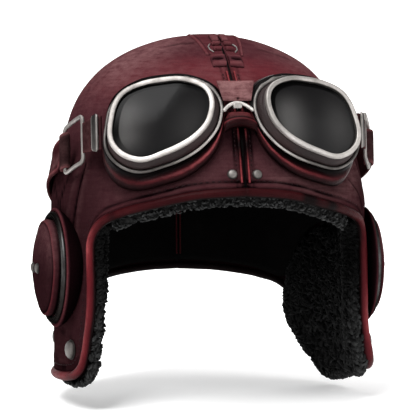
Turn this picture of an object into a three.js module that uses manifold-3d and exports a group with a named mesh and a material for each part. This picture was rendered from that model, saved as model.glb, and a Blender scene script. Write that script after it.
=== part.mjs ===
// Aviator helmet of worn leather, fleece flaps and forehead goggles.
// Millimetres, +Z up. The front faces -Y and +X is the wearer's left.
// The origin is the middle of the lining's top, where the helmet sits on the head.
import * as THREE from 'three';
import { mergeVertices } from 'three/addons/utils/BufferGeometryUtils.js';
import Module from 'manifold-3d';

const wasm = await Module();
wasm.setup();

// Crown, outside of the leather
const crownHeight = 104;
const crownHalfWidth = 104;
const crownFront = 106;
const crownBack = 108;
const flapFall = 120;
const rightFlare = 3.6;
const rightSpread = 6;
const rightSpreadTurns = { full: 75, none: 115 };

// Walls and the play between neighbours
const leatherWall = 2;
const liningWall = 3;
const fleecePile = 8;
const brimPile = 5;
const brimFleeceTurn = 48.5;
const brimFleeceAbove = 7.54;
const brimFleeceBelow = 6.38;
const clearance = 0.3;
const shellPlay = 1.7;
const seamHalfGap = 0.8;

// Edge piping and seam welts
const pipingRadius = 2.9;
const weltRadius = 1;
const weltSpacing = 2.6;
const liningWeltRadius = 0.6;

// Ear cups
const cupRadius = 38;
const cupBaseHeight = { left: 3.2, right: 1.9 };
const cupYaw = 6.5;
const cupSeatGap = { left: 0.7, right: 2.1 };
const cupRingRadius = 35.5;
const cupRingWidth = 4;
const cupRingHeight = 2.8;
const cupDomeRadius = 30.4;
const cupDomeHeight = 11.8;
const cupTurn = 79.5;
const cupStudGap = 5.8;
const cupRivetRadius = 3.4;
const cupRivetSpacing = 12.6;

// Snap studs and brim rivets
const studRadius = 6.2;
const studHeight = 3.4;
const studRise = 22;
const studTurns = { front: 70, rear: 110 };
const rivetRadius = 3.1;
const rivetSpacing = 15.2;
const rivetRise = 10.4;

// Goggles
const lensHalfWidth = 32.5;
const lensSpacing = 94;
const lensRise = 45.4;
const lensStand = 7.05;
const lensYaw = 15;
const lensTilt = 17;
const gogglesAside = -2;
const gogglesLean = 1.2;
const strapAside = 1;
const rimWidth = 3.3;
const rimDepth = 3.2;
const glassWall = 1.2;
const glassBulge = 1.8;
const frameDepth = 6.2;
const frameFlare = 3.4;
const beadRadius = 1.2;
const templeTuck = 2.4;
const eyecupFlare = 14;
const eyecupWall = 7;
const eyecupPuff = 2.2;

// Bridge between the goggles
const bridgeRimGap = 3.5;
const bridgeHalfWidth = lensSpacing / 2 - lensHalfWidth - bridgeRimGap;
const bridgeHeight = 12.4;
const bridgeWall = 2.2;
const bridgeRise = 61;
const bridgeFootShare = 0.68;
const bridgeSetBack = 5.4;
const bridgeDish = 2.4;
const archRimGap = 6.1;
const archHalfSpan = lensSpacing / 2 - lensHalfWidth - archRimGap;
const archRise = 4.2;
const archThickness = 2.1;
const archSetBack = 3.9;
const archBow = 3.2;
const archBlock = { width: 5.4, height: 3.4, depth: 3.2 };
const archBlockDrop = 0.42;
const nosePadHalfWidth = 6.6;
const nosePadHeight = 11.6;
const nosePadDepth = 4.6;
const nosePadGap = 5.67;
const nosePadTop = { width: 0.72, depth: 0.62 };
const nosePadRoll = { height: 1.6, place: 0.45, spread: 0.14 };
const nosePadArch = 1.6;

// Strap and its metalwork
const strapWidth = 23;
const strapWall = 2.4;
const tabWall = 1.6;
const tabLength = 22.3;
const tabWidth = 20;
const slideLength = 7;
const slideWidth = 22.8;
const slidePlace = 5.5;
const loopStart = 24;
const loopLength = 21;
const loopHeight = 28;
const loopWire = 1.3;
const loopCorner = 2.4;
const sleeveWall = 1.7;
const sleeveEndGap = 3.4;
const strapAim = { turn: 66, stand: 13.9 };
const strapSag = 0.0052;
const strapRise = 37.4;

// Fitting on the crest
const crestWall = 1;
const crestFront = 50;
const crestBack = 8;
const crestHalfWidth = 16;
const keeperLength = 9.6;
const keeperHalfWidth = 10.2;
const keeperBar = 2.4;
const keeperWall = 2.4;
const lacingHalfWidth = 6.2;
const lacingBar = 1.9;
const lacingPlaces = [45.75, 41.5];
const lacingRise = 1.1;
const crestSeamGap = 0.4;
const crestTab = { front: 36, length: 12, halfWidth: 5.27, rise: 1.3 };
const crestRingOut = 1.2;
const crestRingWire = 0.75;

// Sides of the round and lofted pieces
const panelRows = 10;
const liningColumns = 32;
const cupSides = 20;
const lensSides = 24;

const radian = Math.PI / 180;
const crownTop = leatherWall + shellPlay + liningWall;
const brimLevel = crownTop - crownHeight;

// Crown sections: drop is a share of crownHeight, the rest of their own half sizes
const crownTable = [
  { drop: 0, side: 0, front: 0, back: 0 },
  { drop: 0.01, side: 0.17, front: 0.125, back: 0.15 },
  { drop: 0.058, side: 0.37, front: 0.283, back: 0.352 },
  { drop: 0.173, side: 0.6, front: 0.476, back: 0.574 },
  { drop: 0.327, side: 0.757, front: 0.646, back: 0.741 },
  { drop: 0.48, side: 0.85, front: 0.774, back: 0.847 },
  { drop: 0.654, side: 0.906, front: 0.879, back: 0.921 },
  { drop: 0.865, side: 0.958, front: 0.951, back: 0.972 },
  { drop: 1, side: 0.982, front: 0.99, back: 0.994 },
  { drop: 1.25, side: 0.987, front: 1.02, back: 1 },
  { drop: 1.56, side: 0.981, front: 1.1, back: 0.99 },
  { drop: 1.92, side: 0.972, front: 1.15, back: 0.975 },
  { drop: 2.3, side: 0.975, front: 1.17, back: 0.96 },
];

// Edge of the leather from the front brim round the flap to the nape.
// Turn is in degrees from the front, fall is a share of flapFall below the brim.
const edgeTable = [
  { turn: 0, fall: 0 },
  { turn: 15, fall: 0.014 },
  { turn: 31, fall: 0.0625 },
  { turn: 45, fall: 0.114 },
  { turn: 51, fall: 0.149 },
  { turn: 54.8, fall: 0.196 },
  { turn: 56.8, fall: 0.25 },
  { turn: 57.5, fall: 0.34 },
  { turn: 57.6, fall: 0.45 },
  { turn: 58, fall: 0.55 },
  { turn: 59, fall: 0.65 },
  { turn: 60.6, fall: 0.75 },
  { turn: 62, fall: 0.83 },
  { turn: 64, fall: 0.895 },
  { turn: 68, fall: 0.94 },
  { turn: 74, fall: 0.962 },
  { turn: 82, fall: 0.975 },
  { turn: 95, fall: 0.985 },
  { turn: 106, fall: 0.985 },
  { turn: 113.5, fall: 0.96 },
  { turn: 118.5, fall: 0.915 },
  { turn: 122.3, fall: 0.855 },
  { turn: 125.6, fall: 0.78 },
  { turn: 127.9, fall: 0.71 },
  { turn: 129.3, fall: 0.65 },
  { turn: 131.3, fall: 0.595 },
  { turn: 136, fall: 0.547 },
  { turn: 145, fall: 0.508 },
  { turn: 156, fall: 0.48 },
  { turn: 167, fall: 0.463 },
  { turn: 180, fall: 0.455 },
];

// Edges of the fleece flap pad: below and round the flap, and along its top
const fleeceEdgeTable = [
  { turn: 52, fall: 0.165 },
  { turn: 55.6, fall: 0.215 },
  { turn: 57.6, fall: 0.3 },
  { turn: 57.8, fall: 0.45 },
  { turn: 58.6, fall: 0.6 },
  { turn: 60, fall: 0.74 },
  { turn: 61.2, fall: 0.86 },
  { turn: 63.5, fall: 0.96 },
  { turn: 69, fall: 1 },
  { turn: 79, fall: 1.015 },
  { turn: 90, fall: 1.045 },
  { turn: 100, fall: 1.075 },
  { turn: 107, fall: 1.085 },
  { turn: 112.5, fall: 1.06 },
  { turn: 116, fall: 1 },
  { turn: 120, fall: 0.94 },
  { turn: 122.6, fall: 0.87 },
  { turn: 125.4, fall: 0.79 },
  { turn: 127.9, fall: 0.71 },
  { turn: 128.6, fall: 0.64 },
  { turn: 128.4, fall: 0.575 },
];
const fleeceTopTable = [
  { turn: 53.5, fall: 0.155 },
  { turn: 60, fall: 0.17 },
  { turn: 75, fall: 0.185 },
  { turn: 95, fall: 0.19 },
  { turn: 110, fall: 0.2 },
  { turn: 119, fall: 0.26 },
  { turn: 124.5, fall: 0.38 },
  { turn: 127.6, fall: 0.52 },
];

// Lower edge of the crown lining, above the fleece and down to the nape
const liningEdgeTable = [
  { turn: 0, fall: -0.1 },
  { turn: 15, fall: -0.086 },
  { turn: 30, fall: -0.03 },
  { turn: 43, fall: 0.025 },
  { turn: 52, fall: 0.09 },
  { turn: 60, fall: 0.14 },
  { turn: 80, fall: 0.165 },
  { turn: 106, fall: 0.175 },
  { turn: 116, fall: 0.2 },
  { turn: 122.5, fall: 0.28 },
  { turn: 127, fall: 0.39 },
  { turn: 130.6, fall: 0.5 },
  { turn: 134, fall: 0.515 },
  { turn: 140, fall: 0.49 },
  { turn: 146, fall: 0.468 },
  { turn: 156, fall: 0.444 },
  { turn: 167, fall: 0.429 },
  { turn: 180, fall: 0.421 },
];

// Lens outline: reach is a share of lensHalfWidth, skirt of eyecupFlare, tuck of templeTuck.
// Angle 0 points away from the nose, 90 up, 180 to the nose.
const lensTable = [
  { angle: 0, reach: 0.975, skirt: 0.5, tuck: 1 },
  { angle: 30, reach: 0.93, skirt: 0.54, tuck: 0.5 },
  { angle: 60, reach: 0.81, skirt: 0.57, tuck: 0 },
  { angle: 90, reach: 0.78, skirt: 0.6, tuck: 0 },
  { angle: 120, reach: 0.895, skirt: 0.57, tuck: 0 },
  { angle: 150, reach: 1.035, skirt: 0.5, tuck: 0 },
  { angle: 180, reach: 0.925, skirt: 0.45, tuck: 0 },
  { angle: 210, reach: 0.765, skirt: 0.84, tuck: 0 },
  { angle: 240, reach: 0.69, skirt: 1.03, tuck: 0 },
  { angle: 270, reach: 0.74, skirt: 1.03, tuck: 0 },
  { angle: 300, reach: 0.957, skirt: 0.93, tuck: 0 },
  { angle: 330, reach: 1.065, skirt: 0.64, tuck: 0.5 },
];

// Goggle strap behind the loops: stand is its middle's share of strapStand off the leather,
// rise a share of crownHeight above the brim
const strapStand = 5;
const strapTable = [
  { turn: 74, stand: 1.3, rise: 0.232 },
  { turn: 82, stand: 1.2, rise: 0.2 },
  { turn: 92, stand: 0.86, rise: 0.155 },
  { turn: 104, stand: 0.56, rise: 0.09 },
  { turn: 120, stand: 0.5, rise: 0 },
  { turn: 140, stand: 0.51, rise: -0.08 },
  { turn: 162, stand: 0.72, rise: -0.13 },
  { turn: 180, stand: 1.12, rise: -0.145 },
];

// Half width of the crest patch from its front end to its back end
const crestTable = [
  { along: 0, width: 0.75 },
  { along: 0.25, width: 0.9 },
  { along: 0.55, width: 1 },
  { along: 0.85, width: 0.86 },
  { along: 1, width: 0.62 },
];

function share(from, to, amount) {
  return from + (to - from) * amount;
}

function smoothShare(low, high, value) {
  const amount = Math.min(Math.max((value - low) / (high - low), 0), 1);
  return amount * amount * (3 - 2 * amount);
}

// Smooth curve through the rows of a table: a cubic between two rows, with each
// row's slope taken from its neighbours
function alongTable(rows, key, column, at) {
  const last = rows.length - 1;
  const step = (i) => rows[i + 1][key] - rows[i][key];
  const rate = (i) => (rows[i + 1][column] - rows[i][column]) / step(i);
  const slope = (i) => {
    if (i === 0) return rate(0);
    if (i === last) return rate(last - 1);
    return (rate(i - 1) * step(i) + rate(i) * step(i - 1)) / (step(i - 1) + step(i));
  };
  let i = 0;
  while (i < last - 1 && at > rows[i + 1][key]) i += 1;
  const width = step(i);
  const t = Math.min(Math.max((at - rows[i][key]) / width, 0), 1);
  const rise = t * t * (3 - 2 * t);
  const lead = t * (1 - t) * (1 - t) * width * slope(i);
  const tail = t * t * (1 - t) * width * slope(i + 1);
  return share(rows[i][column], rows[i + 1][column], rise) + lead - tail;
}

// A run of turns and falls gets the distance along it, measured on the leather
function measuredRun(table) {
  let length = 0;
  return table.map((row, i) => {
    if (i > 0) {
      const across = (row.turn - table[i - 1].turn) * radian * crownHalfWidth;
      const down = (row.fall - table[i - 1].fall) * flapFall;
      length += Math.hypot(across, down);
    }
    return { ...row, length };
  });
}

function runPoint(run, amount) {
  const at = amount * run[run.length - 1].length;
  const turn = alongTable(run, 'length', 'turn', at);
  const drop = crownHeight + flapFall * alongTable(run, 'length', 'fall', at);
  return { turn, drop };
}

const edgeRun = measuredRun(edgeTable);
const fleeceRun = measuredRun(fleeceEdgeTable);
const fleeceTopRun = measuredRun(fleeceTopTable);
const crownRows = crownTable.map((row) => ({ ...row, root: Math.sqrt(row.drop) }));

function crownSection(drop) {
  const root = Math.sqrt(Math.max(drop, 0) / crownHeight);
  return {
    side: crownHalfWidth * alongTable(crownRows, 'root', 'side', root),
    front: crownFront * alongTable(crownRows, 'root', 'front', root),
    back: crownBack * alongTable(crownRows, 'root', 'back', root),
  };
}

// The right flap hangs a little further out towards its lower end
function flareAt(drop) {
  return rightFlare * smoothShare(0.62, 1, (drop - crownHeight) / flapFall);
}

// The right flap's front edge also lies a little further round
function sidedTurn(side, turn, drop) {
  if (side < 0) return turn;
  const below = smoothShare(0.05, 0.16, (drop - crownHeight) / flapFall);
  const { full, none } = rightSpreadTurns;
  return turn + rightSpread * below * (1 - smoothShare(full, none, turn));
}

// Point on the outside of the leather, at a turn from the front and a drop from the top
function leatherPoint(turn, drop) {
  const section = crownSection(drop);
  const angle = turn * radian;
  const depth = Math.cos(angle) > 0 ? section.front : section.back;
  return new THREE.Vector3(
    section.side * Math.sin(angle) + flareAt(drop) * Math.max(Math.sin(angle), 0),
    -depth * Math.cos(angle),
    crownTop - drop,
  );
}

function leatherNormal(turn, drop) {
  const small = 0.4;
  if (drop < small) return new THREE.Vector3(0, 0, 1);
  const round = leatherPoint(turn + small, drop).sub(leatherPoint(turn - small, drop));
  const down = leatherPoint(turn, drop + small).sub(leatherPoint(turn, drop - small));
  return down.cross(round).normalize();
}

// The same point moved off the leather: outwards when off is positive
function crownPoint(turn, drop, off) {
  return leatherPoint(turn, drop).addScaledVector(leatherNormal(turn, drop), off);
}

// Roughly how far a point lies outside the leather
function crownGap(point) {
  const drop = crownTop - point.z;
  if (drop <= 0) return Math.hypot(point.x, point.y) - drop;
  const section = crownSection(drop);
  const depth = point.y < 0 ? section.front : section.back;
  const x = point.x > 0 ? point.x - flareAt(drop) : point.x;
  const ratio = Math.hypot(x / section.side, point.y / depth);
  return (ratio - 1) * Math.min(section.side, depth);
}

// Moves a point against a direction until it lies just off the leather
function seatOnCrown(start, direction, gap) {
  let near = 0;
  let far = 80;
  const steps = 40;
  for (let i = 0; i < steps; i += 1) {
    const middle = (near + far) / 2;
    const outside = crownGap(start.clone().addScaledVector(direction, -middle)) > gap;
    if (outside) near = middle;
    else far = middle;
  }
  return start.clone().addScaledVector(direction, -near);
}

// Distance from the piping's middle line, measured on the leather
const edgeSteps = 120;
const edgeSamples = Array.from({ length: edgeSteps + 1 }, (_, i) => runPoint(edgeRun, i / edgeSteps));

function edgeDistance(turn, drop) {
  const distances = edgeSamples.map((sample) => {
    const across = (sample.turn - turn) * radian * crownHalfWidth;
    return Math.hypot(across, sample.drop - drop);
  });
  return Math.min(...distances);
}

function edgePoint(side, amount) {
  const { turn, drop } = runPoint(edgeRun, amount);
  return { turn: sidedTurn(side, turn, drop), drop };
}

// The edge run moved towards the leather by an inset
function insetEdge(side, amount, inset) {
  const small = 0.002;
  const here = edgePoint(side, amount);
  const before = edgePoint(side, Math.max(amount - small, 0));
  const after = edgePoint(side, Math.min(amount + small, 1));
  const across = (after.turn - before.turn) * radian * crownHalfWidth;
  const down = after.drop - before.drop;
  const length = Math.hypot(across, down);
  return {
    turn: here.turn + (inset * down) / length / (radian * crownHalfWidth),
    drop: here.drop - (inset * across) / length,
  };
}

// Closed body from sections. Each section is a list of points. Sections that go around
// join last to first, otherwise each end is closed between the section's two halves.
// A section that is a loop closes on itself, otherwise it runs from pole to pole.
function bodyFromSections(sections, { around, loop }) {
  const count = sections[0].length;
  const positions = sections.flat().flatMap((point) => [point.x, point.y, point.z]);
  const index = [];
  const corner = (i, j) => (i % sections.length) * count + (j % count);
  const quad = (a, b, c, d) => index.push(a, b, c, a, c, d);
  const spans = around ? sections.length : sections.length - 1;
  const steps = loop ? count : count - 1;
  for (let i = 0; i < spans; i += 1) {
    for (let j = 0; j < steps; j += 1) {
      quad(corner(i, j), corner(i, j + 1), corner(i + 1, j + 1), corner(i + 1, j));
    }
  }
  if (!around) {
    const end = sections.length - 1;
    for (let j = 0; j < count / 2 - 1; j += 1) {
      const other = count - 1 - j;
      quad(corner(0, other), corner(0, other - 1), corner(0, j + 1), corner(0, j));
      quad(corner(end, j), corner(end, j + 1), corner(end, other - 1), corner(end, other));
    }
  }
  const geometry = new THREE.BufferGeometry();
  geometry.setAttribute('position', new THREE.Float32BufferAttribute(positions, 3));
  geometry.setIndex(index);
  return facingOut(geometry);
}

// Merges shared corners, drops empty triangles and turns the faces outwards
function facingOut(source) {
  const bare = source.clone();
  bare.deleteAttribute('normal');
  bare.deleteAttribute('uv');
  const merged = mergeVertices(bare, 0.0005);
  const corners = merged.getAttribute('position');
  const index = [];
  let volume = 0;
  for (let i = 0; i < merged.index.count; i += 3) {
    const [a, b, c] = [0, 1, 2].map((k) => merged.index.getX(i + k));
    if (a !== b && b !== c && c !== a) {
      index.push(a, b, c);
      const [p, q, r] = [a, b, c].map((k) => new THREE.Vector3().fromBufferAttribute(corners, k));
      volume += p.dot(q.cross(r));
    }
  }
  if (volume < 0) index.reverse();
  merged.setIndex(index);
  merged.computeVertexNormals();
  return merged;
}

function toSolid(geometry) {
  const merged = facingOut(geometry);
  return new wasm.Manifold(new wasm.Mesh({
    numProp: 3,
    vertProperties: new Float32Array(merged.getAttribute('position').array),
    triVerts: new Uint32Array(merged.index.array),
  }));
}

function joined(geometries) {
  const solids = geometries.map(toSolid);
  const whole = solids.reduce((sum, solid) => sum.add(solid));
  const mesh = whole.getMesh();
  const geometry = new THREE.BufferGeometry();
  geometry.setAttribute('position', new THREE.Float32BufferAttribute(mesh.vertProperties, 3));
  geometry.setIndex([...mesh.triVerts]);
  return facingOut(geometry);
}

function circleShape(radius, sides) {
  const corners = Array.from({ length: sides }, (_, i) => {
    const angle = (i / sides) * 2 * Math.PI;
    return new THREE.Vector2(radius * Math.cos(angle), radius * Math.sin(angle));
  });
  return new THREE.Shape(corners);
}

function tubeThrough(points, radius, steps, sides) {
  const path = new THREE.CatmullRomCurve3(points);
  const section = circleShape(radius, sides);
  return new THREE.ExtrudeGeometry(section, { steps, extrudePath: path, bevelEnabled: false });
}

function turnedSolid(profile, sides) {
  const points = profile.map(([radius, height]) => new THREE.Vector2(radius, height));
  return new THREE.LatheGeometry(points, sides);
}

// A turned piece set with its axis along a direction
function placeOnAxis(mesh, point, direction) {
  mesh.position.copy(point);
  mesh.quaternion.setFromUnitVectors(new THREE.Vector3(0, 1, 0), direction);
  return mesh;
}

const finishes = {
  leather: { color: 0x4f2a31, roughness: 0.55, metalness: 0 },
  piping: { color: 0x7c3238, roughness: 0.45, metalness: 0 },
  padding: { color: 0x6b2f36, roughness: 0.5, metalness: 0 },
  cloth: { color: 0x171717, roughness: 0.9, metalness: 0 },
  fleece: { color: 0x232324, roughness: 0.95, metalness: 0 },
  steel: { color: 0xb9b6b2, roughness: 0.35, metalness: 1 },
  darkMetal: { color: 0x8a8785, roughness: 0.45, metalness: 1 },
  frame: { color: 0x2a2323, roughness: 0.5, metalness: 0 },
  glass: { color: 0x3c3c3e, roughness: 0.15, metalness: 0 },
};

function piece(name, geometry, finish) {
  const mesh = new THREE.Mesh(facingOut(geometry), new THREE.MeshStandardMaterial(finishes[finish]));
  mesh.name = name;
  return mesh;
}

const sides = { left: -1, right: 1 };

// Leather panels, one each side of the centre seam

// Line of a shell from the top of the crown down to a point of its edge: it swings
// towards the edge's turn on its way over the shoulder
function shellLine(spread, edge, amount) {
  const shoulder = 0.8 * crownHeight;
  const bend = 0.7;
  const turn = share(spread, edge.turn, amount ** 1.5);
  if (amount <= bend) return { turn, drop: shoulder * (amount / bend) ** 2 };
  return { turn, drop: share(shoulder, edge.drop, (amount - bend) / (1 - bend)) };
}

// Columns of the panels as shares along the edge, closer together round its corners
const panelStops = [
  0, 0.05, 0.1, 0.15, 0.18, 0.2, 0.215, 0.23, 0.25, 0.28, 0.32, 0.36, 0.4, 0.43, 0.45,
  0.48, 0.52, 0.57, 0.62, 0.66, 0.7, 0.75, 0.79, 0.83, 0.88, 0.94, 1,
];

function leatherPanel(side) {
  const inset = pipingRadius + 5.5 * clearance;
  const sections = [];
  panelStops.forEach((amount) => {
    const edge = insetEdge(side, amount, inset);
    const outer = [];
    const inner = [];
    for (let j = 0; j <= panelRows; j += 1) {
      const { turn, drop } = shellLine(180 * amount, edge, j / panelRows);
      outer.push(crownPoint(side * turn, drop, 0));
      inner.unshift(crownPoint(side * turn, drop, -leatherWall));
    }
    const apart = new THREE.Vector3(side * seamHalfGap, 0, 0);
    sections.push([...outer, ...inner].map((point) => point.add(apart)));
  });
  return bodyFromSections(sections, { around: false, loop: true });
}

// Piping sewn round the leather's edge
function edgePiping(side) {
  const samples = 54;
  const points = [];
  for (let i = 0; i <= samples; i += 1) {
    const { turn, drop } = edgePoint(side, i / samples);
    const point = crownPoint(side * turn, drop, -leatherWall / 2);
    points.push(point.add(new THREE.Vector3(side * seamHalfGap, 0, 0)));
  }
  return tubeThrough(points, pipingRadius, samples, 5);
}

// Point over the crown at a given x and y
function crestPoint(x, y, off) {
  let high = 0;
  let low = crownHeight;
  const steps = 40;
  for (let i = 0; i < steps; i += 1) {
    const middle = (high + low) / 2;
    const section = crownSection(middle);
    const depth = y < 0 ? section.front : section.back;
    if (Math.hypot(x / section.side, y / depth) > 1) high = middle;
    else low = middle;
  }
  const section = crownSection(low);
  const depth = y < 0 ? section.front : section.back;
  const turn = Math.atan2(x / section.side, -y / depth) / radian;
  return crownPoint(turn, low, off);
}

// Raised welts beside the centre seam, in front of and behind the crest patch
function seamWelt(side, fromDrop, toDrop, facing) {
  const points = [];
  const samples = 12;
  for (let i = 0; i <= samples; i += 1) {
    const drop = share(fromDrop, toDrop, i / samples);
    const { z } = leatherPoint(facing, drop);
    const section = crownSection(crownTop - z);
    const spread = Math.asin(weltSpacing / section.side) / radian;
    const turn = facing === 0 ? spread : 180 - spread;
    points.push(crownPoint(side * turn, drop, weltRadius + 3 * clearance));
  }
  return tubeThrough(points, weltRadius, samples, 4);
}

// Lining and fleece

function crownLining() {
  const rows = 8;
  const outerOff = -(leatherWall + shellPlay);
  const sections = [];
  const half = liningColumns / 2;
  for (let i = -half; i < half; i += 1) {
    const turnAt = (180 * i) / half;
    const fall = alongTable(liningEdgeTable, 'turn', 'fall', Math.abs(turnAt));
    const edge = { turn: turnAt, drop: crownHeight + flapFall * fall };
    const outer = [];
    const inner = [];
    for (let j = 0; j <= rows; j += 1) {
      const { turn, drop } = shellLine(turnAt, edge, j / rows);
      outer.push(crownPoint(turn, drop, outerOff));
      inner.unshift(crownPoint(turn, drop, outerOff - liningWall));
    }
    sections.push([...outer, ...inner]);
  }
  return bodyFromSections(sections, { around: true, loop: false });
}

// Two thin welts on the inside of the lining, down the nape
function liningWelt(side) {
  const points = [];
  const samples = 8;
  const off = -(leatherWall + shellPlay + liningWall + 4 * clearance + liningWeltRadius);
  for (let i = 0; i <= samples; i += 1) {
    const drop = share(0.3, 1.44, i / samples) * crownHeight;
    const spread = Math.asin(weltSpacing / 1.6 / crownSection(drop).side) / radian;
    points.push(crownPoint(side * (180 - spread), drop, off));
  }
  return tubeThrough(points, liningWeltRadius, samples, 4);
}

// Outer face of the fleece: on the leather, but clear of the piping near the edge
function fleeceBack(turn, drop) {
  const onLeather = leatherWall + shellPlay;
  const byPiping = leatherWall / 2 + pipingRadius + 2 * clearance;
  const away = smoothShare(1.3 * pipingRadius, 3 * pipingRadius, edgeDistance(turn, drop));
  return share(byPiping, onLeather, away);
}

function brimFleece() {
  const columns = 18;
  const sections = [];
  for (let i = 0; i <= columns; i += 1) {
    const turn = share(-brimFleeceTurn, brimFleeceTurn, i / columns);
    const brim = crownHeight + flapFall * alongTable(edgeTable, 'turn', 'fall', Math.abs(turn));
    const upper = brim - brimFleeceAbove;
    const lower = brim + brimFleeceBelow;
    const back = -(leatherWall / 2 + pipingRadius + 2 * clearance);
    const belly = share(upper, lower, 0.6);
    sections.push([
      crownPoint(turn, upper, back),
      crownPoint(turn, lower, back),
      crownPoint(turn, lower, back - 0.7 * brimPile),
      crownPoint(turn, belly, back - brimPile),
      crownPoint(turn, upper, back - 0.8 * brimPile),
      crownPoint(turn, upper, back - 0.4 * brimPile),
    ]);
  }
  return bodyFromSections(sections, { around: false, loop: true });
}

function flapFleece(side) {
  const columns = 18;
  const rows = [0, 0.35, 0.7, 0.92, 1];
  const sections = [];
  for (let i = 0; i <= columns; i += 1) {
    const upper = runPoint(fleeceTopRun, i / columns);
    const lower = runPoint(fleeceRun, i / columns);
    const outer = [];
    const inner = [];
    rows.forEach((row) => {
      const turn = share(upper.turn, lower.turn, row);
      const drop = share(upper.drop, lower.drop, row);
      const back = -fleeceBack(turn, drop);
      const round = 1 - 0.3 * Math.abs(2 * row - 1) ** 4;
      const way = side * sidedTurn(side, turn, drop);
      outer.push(crownPoint(way, drop, back));
      inner.unshift(crownPoint(way, drop, back - fleecePile * round));
    });
    sections.push([...outer, ...inner]);
  }
  return bodyFromSections(sections, { around: false, loop: true });
}

// Ear cups

const studDrop = crownHeight + flapFall - studRise;
const cupDrop = studDrop - studRadius - cupStudGap - cupRadius;

function cupFrame(side) {
  const seat = leatherPoint(side * cupTurn, cupDrop);
  seat.x += side * seamHalfGap;
  const yaw = cupYaw * radian;
  const outward = new THREE.Vector3(side * Math.cos(yaw), -Math.sin(yaw), 0);
  const up = new THREE.Vector3(0, 0, 1);
  const forward = new THREE.Vector3().crossVectors(outward, up);
  return { seat, outward, up, forward };
}

function cupPoint(frame, radius, angle, height) {
  return frame.seat.clone()
    .addScaledVector(frame.forward, radius * Math.cos(angle))
    .addScaledVector(frame.up, radius * Math.sin(angle))
    .addScaledVector(frame.outward, height);
}

const cupEdgeTable = [
  { reach: 0, low: 0 },
  { reach: 0.93, low: 0 },
  { reach: 0.985, low: 0.0105 },
  { reach: 1, low: 0.0316 },
];

const cupFootShare = { rear: 0.94, cut: 0.3, middle: 0.5 };

// Padded base: its back follows the leather, its face is flat
function cupBase(side, height, seatGap) {
  const frame = cupFrame(side);
  const sections = [];
  for (let i = 0; i < cupSides; i += 1) {
    const angle = (i / cupSides) * 2 * Math.PI;
    const front = cupEdgeTable.map(({ reach, low }) => (
      cupPoint(frame, reach * cupRadius, angle, height - low * cupRadius)
    ));
    const foot = cupFootShare.rear - cupFootShare.cut * Math.max(Math.cos(angle), 0);
    const back = [foot, cupFootShare.middle, 0].map((reach) => {
      const start = cupPoint(frame, reach * cupRadius, angle, height - 1);
      return seatOnCrown(start, frame.outward, seatGap + seamHalfGap);
    });
    sections.push([...front, ...back]);
  }
  return bodyFromSections(sections, { around: true, loop: false });
}

function cupRing() {
  const inside = cupRingRadius - cupRingWidth;
  const low = clearance;
  const high = cupRingHeight;
  return turnedSolid([
    [inside, low],
    [cupRingRadius, low],
    [cupRingRadius, 0.6 * high],
    [cupRingRadius - 0.3 * cupRingWidth, high],
    [inside, high],
    [inside, low],
  ], cupSides);
}

const domeTable = [
  { reach: 0, rise: 1 },
  { reach: 0.42, rise: 0.95 },
  { reach: 0.76, rise: 0.78 },
  { reach: 0.94, rise: 0.55 },
  { reach: 1, rise: 0.32 },
  { reach: 1, rise: 0.03 },
  { reach: 0, rise: 0.03 },
];

function cupDome() {
  return turnedSolid(
    domeTable.map(({ reach, rise }) => [reach * cupDomeRadius, rise * cupDomeHeight]),
    cupSides,
  );
}

// Domed head of a rivet or stud, standing on its flat back
function domedHead(radius, height, sideCount) {
  return turnedSolid([
    [0, height],
    [0.6 * radius, 0.86 * height],
    [0.92 * radius, 0.5 * height],
    [radius, 0.2 * height],
    [radius, 0],
    [0, 0],
  ], sideCount);
}

function cupPieces(side, word) {
  const frame = cupFrame(side);
  const baseHeight = cupBaseHeight[word];
  const face = cupPoint(frame, 0, 0, baseHeight);
  const ring = placeOnAxis(piece(`ear_cup_ring_${word}`, cupRing(), 'darkMetal'), face, frame.outward);
  const dome = placeOnAxis(piece(`ear_cup_dome_${word}`, cupDome(), 'leather'), face, frame.outward);
  const rivets = [['front', 1], ['rear', -1]].map(([place, way]) => {
    const head = domedHead(cupRivetRadius, 0.55 * cupRivetRadius, 8);
    const rise = alongTable(domeRows, 'reach', 'rise', cupRivetSpacing / 2 / cupDomeRadius);
    const height = baseHeight + rise * cupDomeHeight + 1.4 * clearance;
    const forward = (way * cupRivetSpacing) / 2;
    const point = cupPoint(frame, forward, 0, height);
    return placeOnAxis(piece(`ear_cup_rivet_${place}_${word}`, head, 'steel'), point, frame.outward);
  });
  return [piece(`ear_cup_base_${word}`, cupBase(side, baseHeight, cupSeatGap[word]), 'padding'), ring, dome, ...rivets];
}

const domeRows = domeTable.slice(0, 5);

// Snap studs on the flaps and rivets over the brim
function studOn(name, turn, drop, side, radius, height, gap) {
  const seat = crownPoint(turn, drop, gap);
  seat.x += side * seamHalfGap;
  return placeOnAxis(piece(name, domedHead(radius, height, 10), 'steel'), seat, leatherNormal(turn, drop));
}

function flapStuds(side, word) {
  return Object.entries(studTurns).map(([place, turn]) => {
    const way = side * sidedTurn(side, turn, studDrop);
    return studOn(`snap_stud_${place}_${word}`, way, studDrop, side, studRadius, studHeight, 3 * clearance);
  });
}

function brimRivet(side, word) {
  const drop = crownHeight - rivetRise;
  const turn = Math.asin((rivetSpacing / 2 - seamHalfGap) / crownSection(drop).side) / radian;
  return studOn(`brim_rivet_${word}`, side * turn, drop, side, rivetRadius, 0.6 * rivetRadius, 1.4 * clearance);
}

// Goggles

// The lens middles stand off the crown's front at their own level
const lensReach = crownSection(crownHeight - lensRise).front + lensStand;

// The strapped-on goggles sit a little aside and lean a little
function settle(point, aside = gogglesAside) {
  const lean = gogglesLean * radian;
  const height = brimLevel + lensRise;
  const { x } = point;
  const z = point.z - height;
  point.x = x * Math.cos(lean) - z * Math.sin(lean) + aside;
  point.z = x * Math.sin(lean) + z * Math.cos(lean) + height;
  return point;
}

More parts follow.
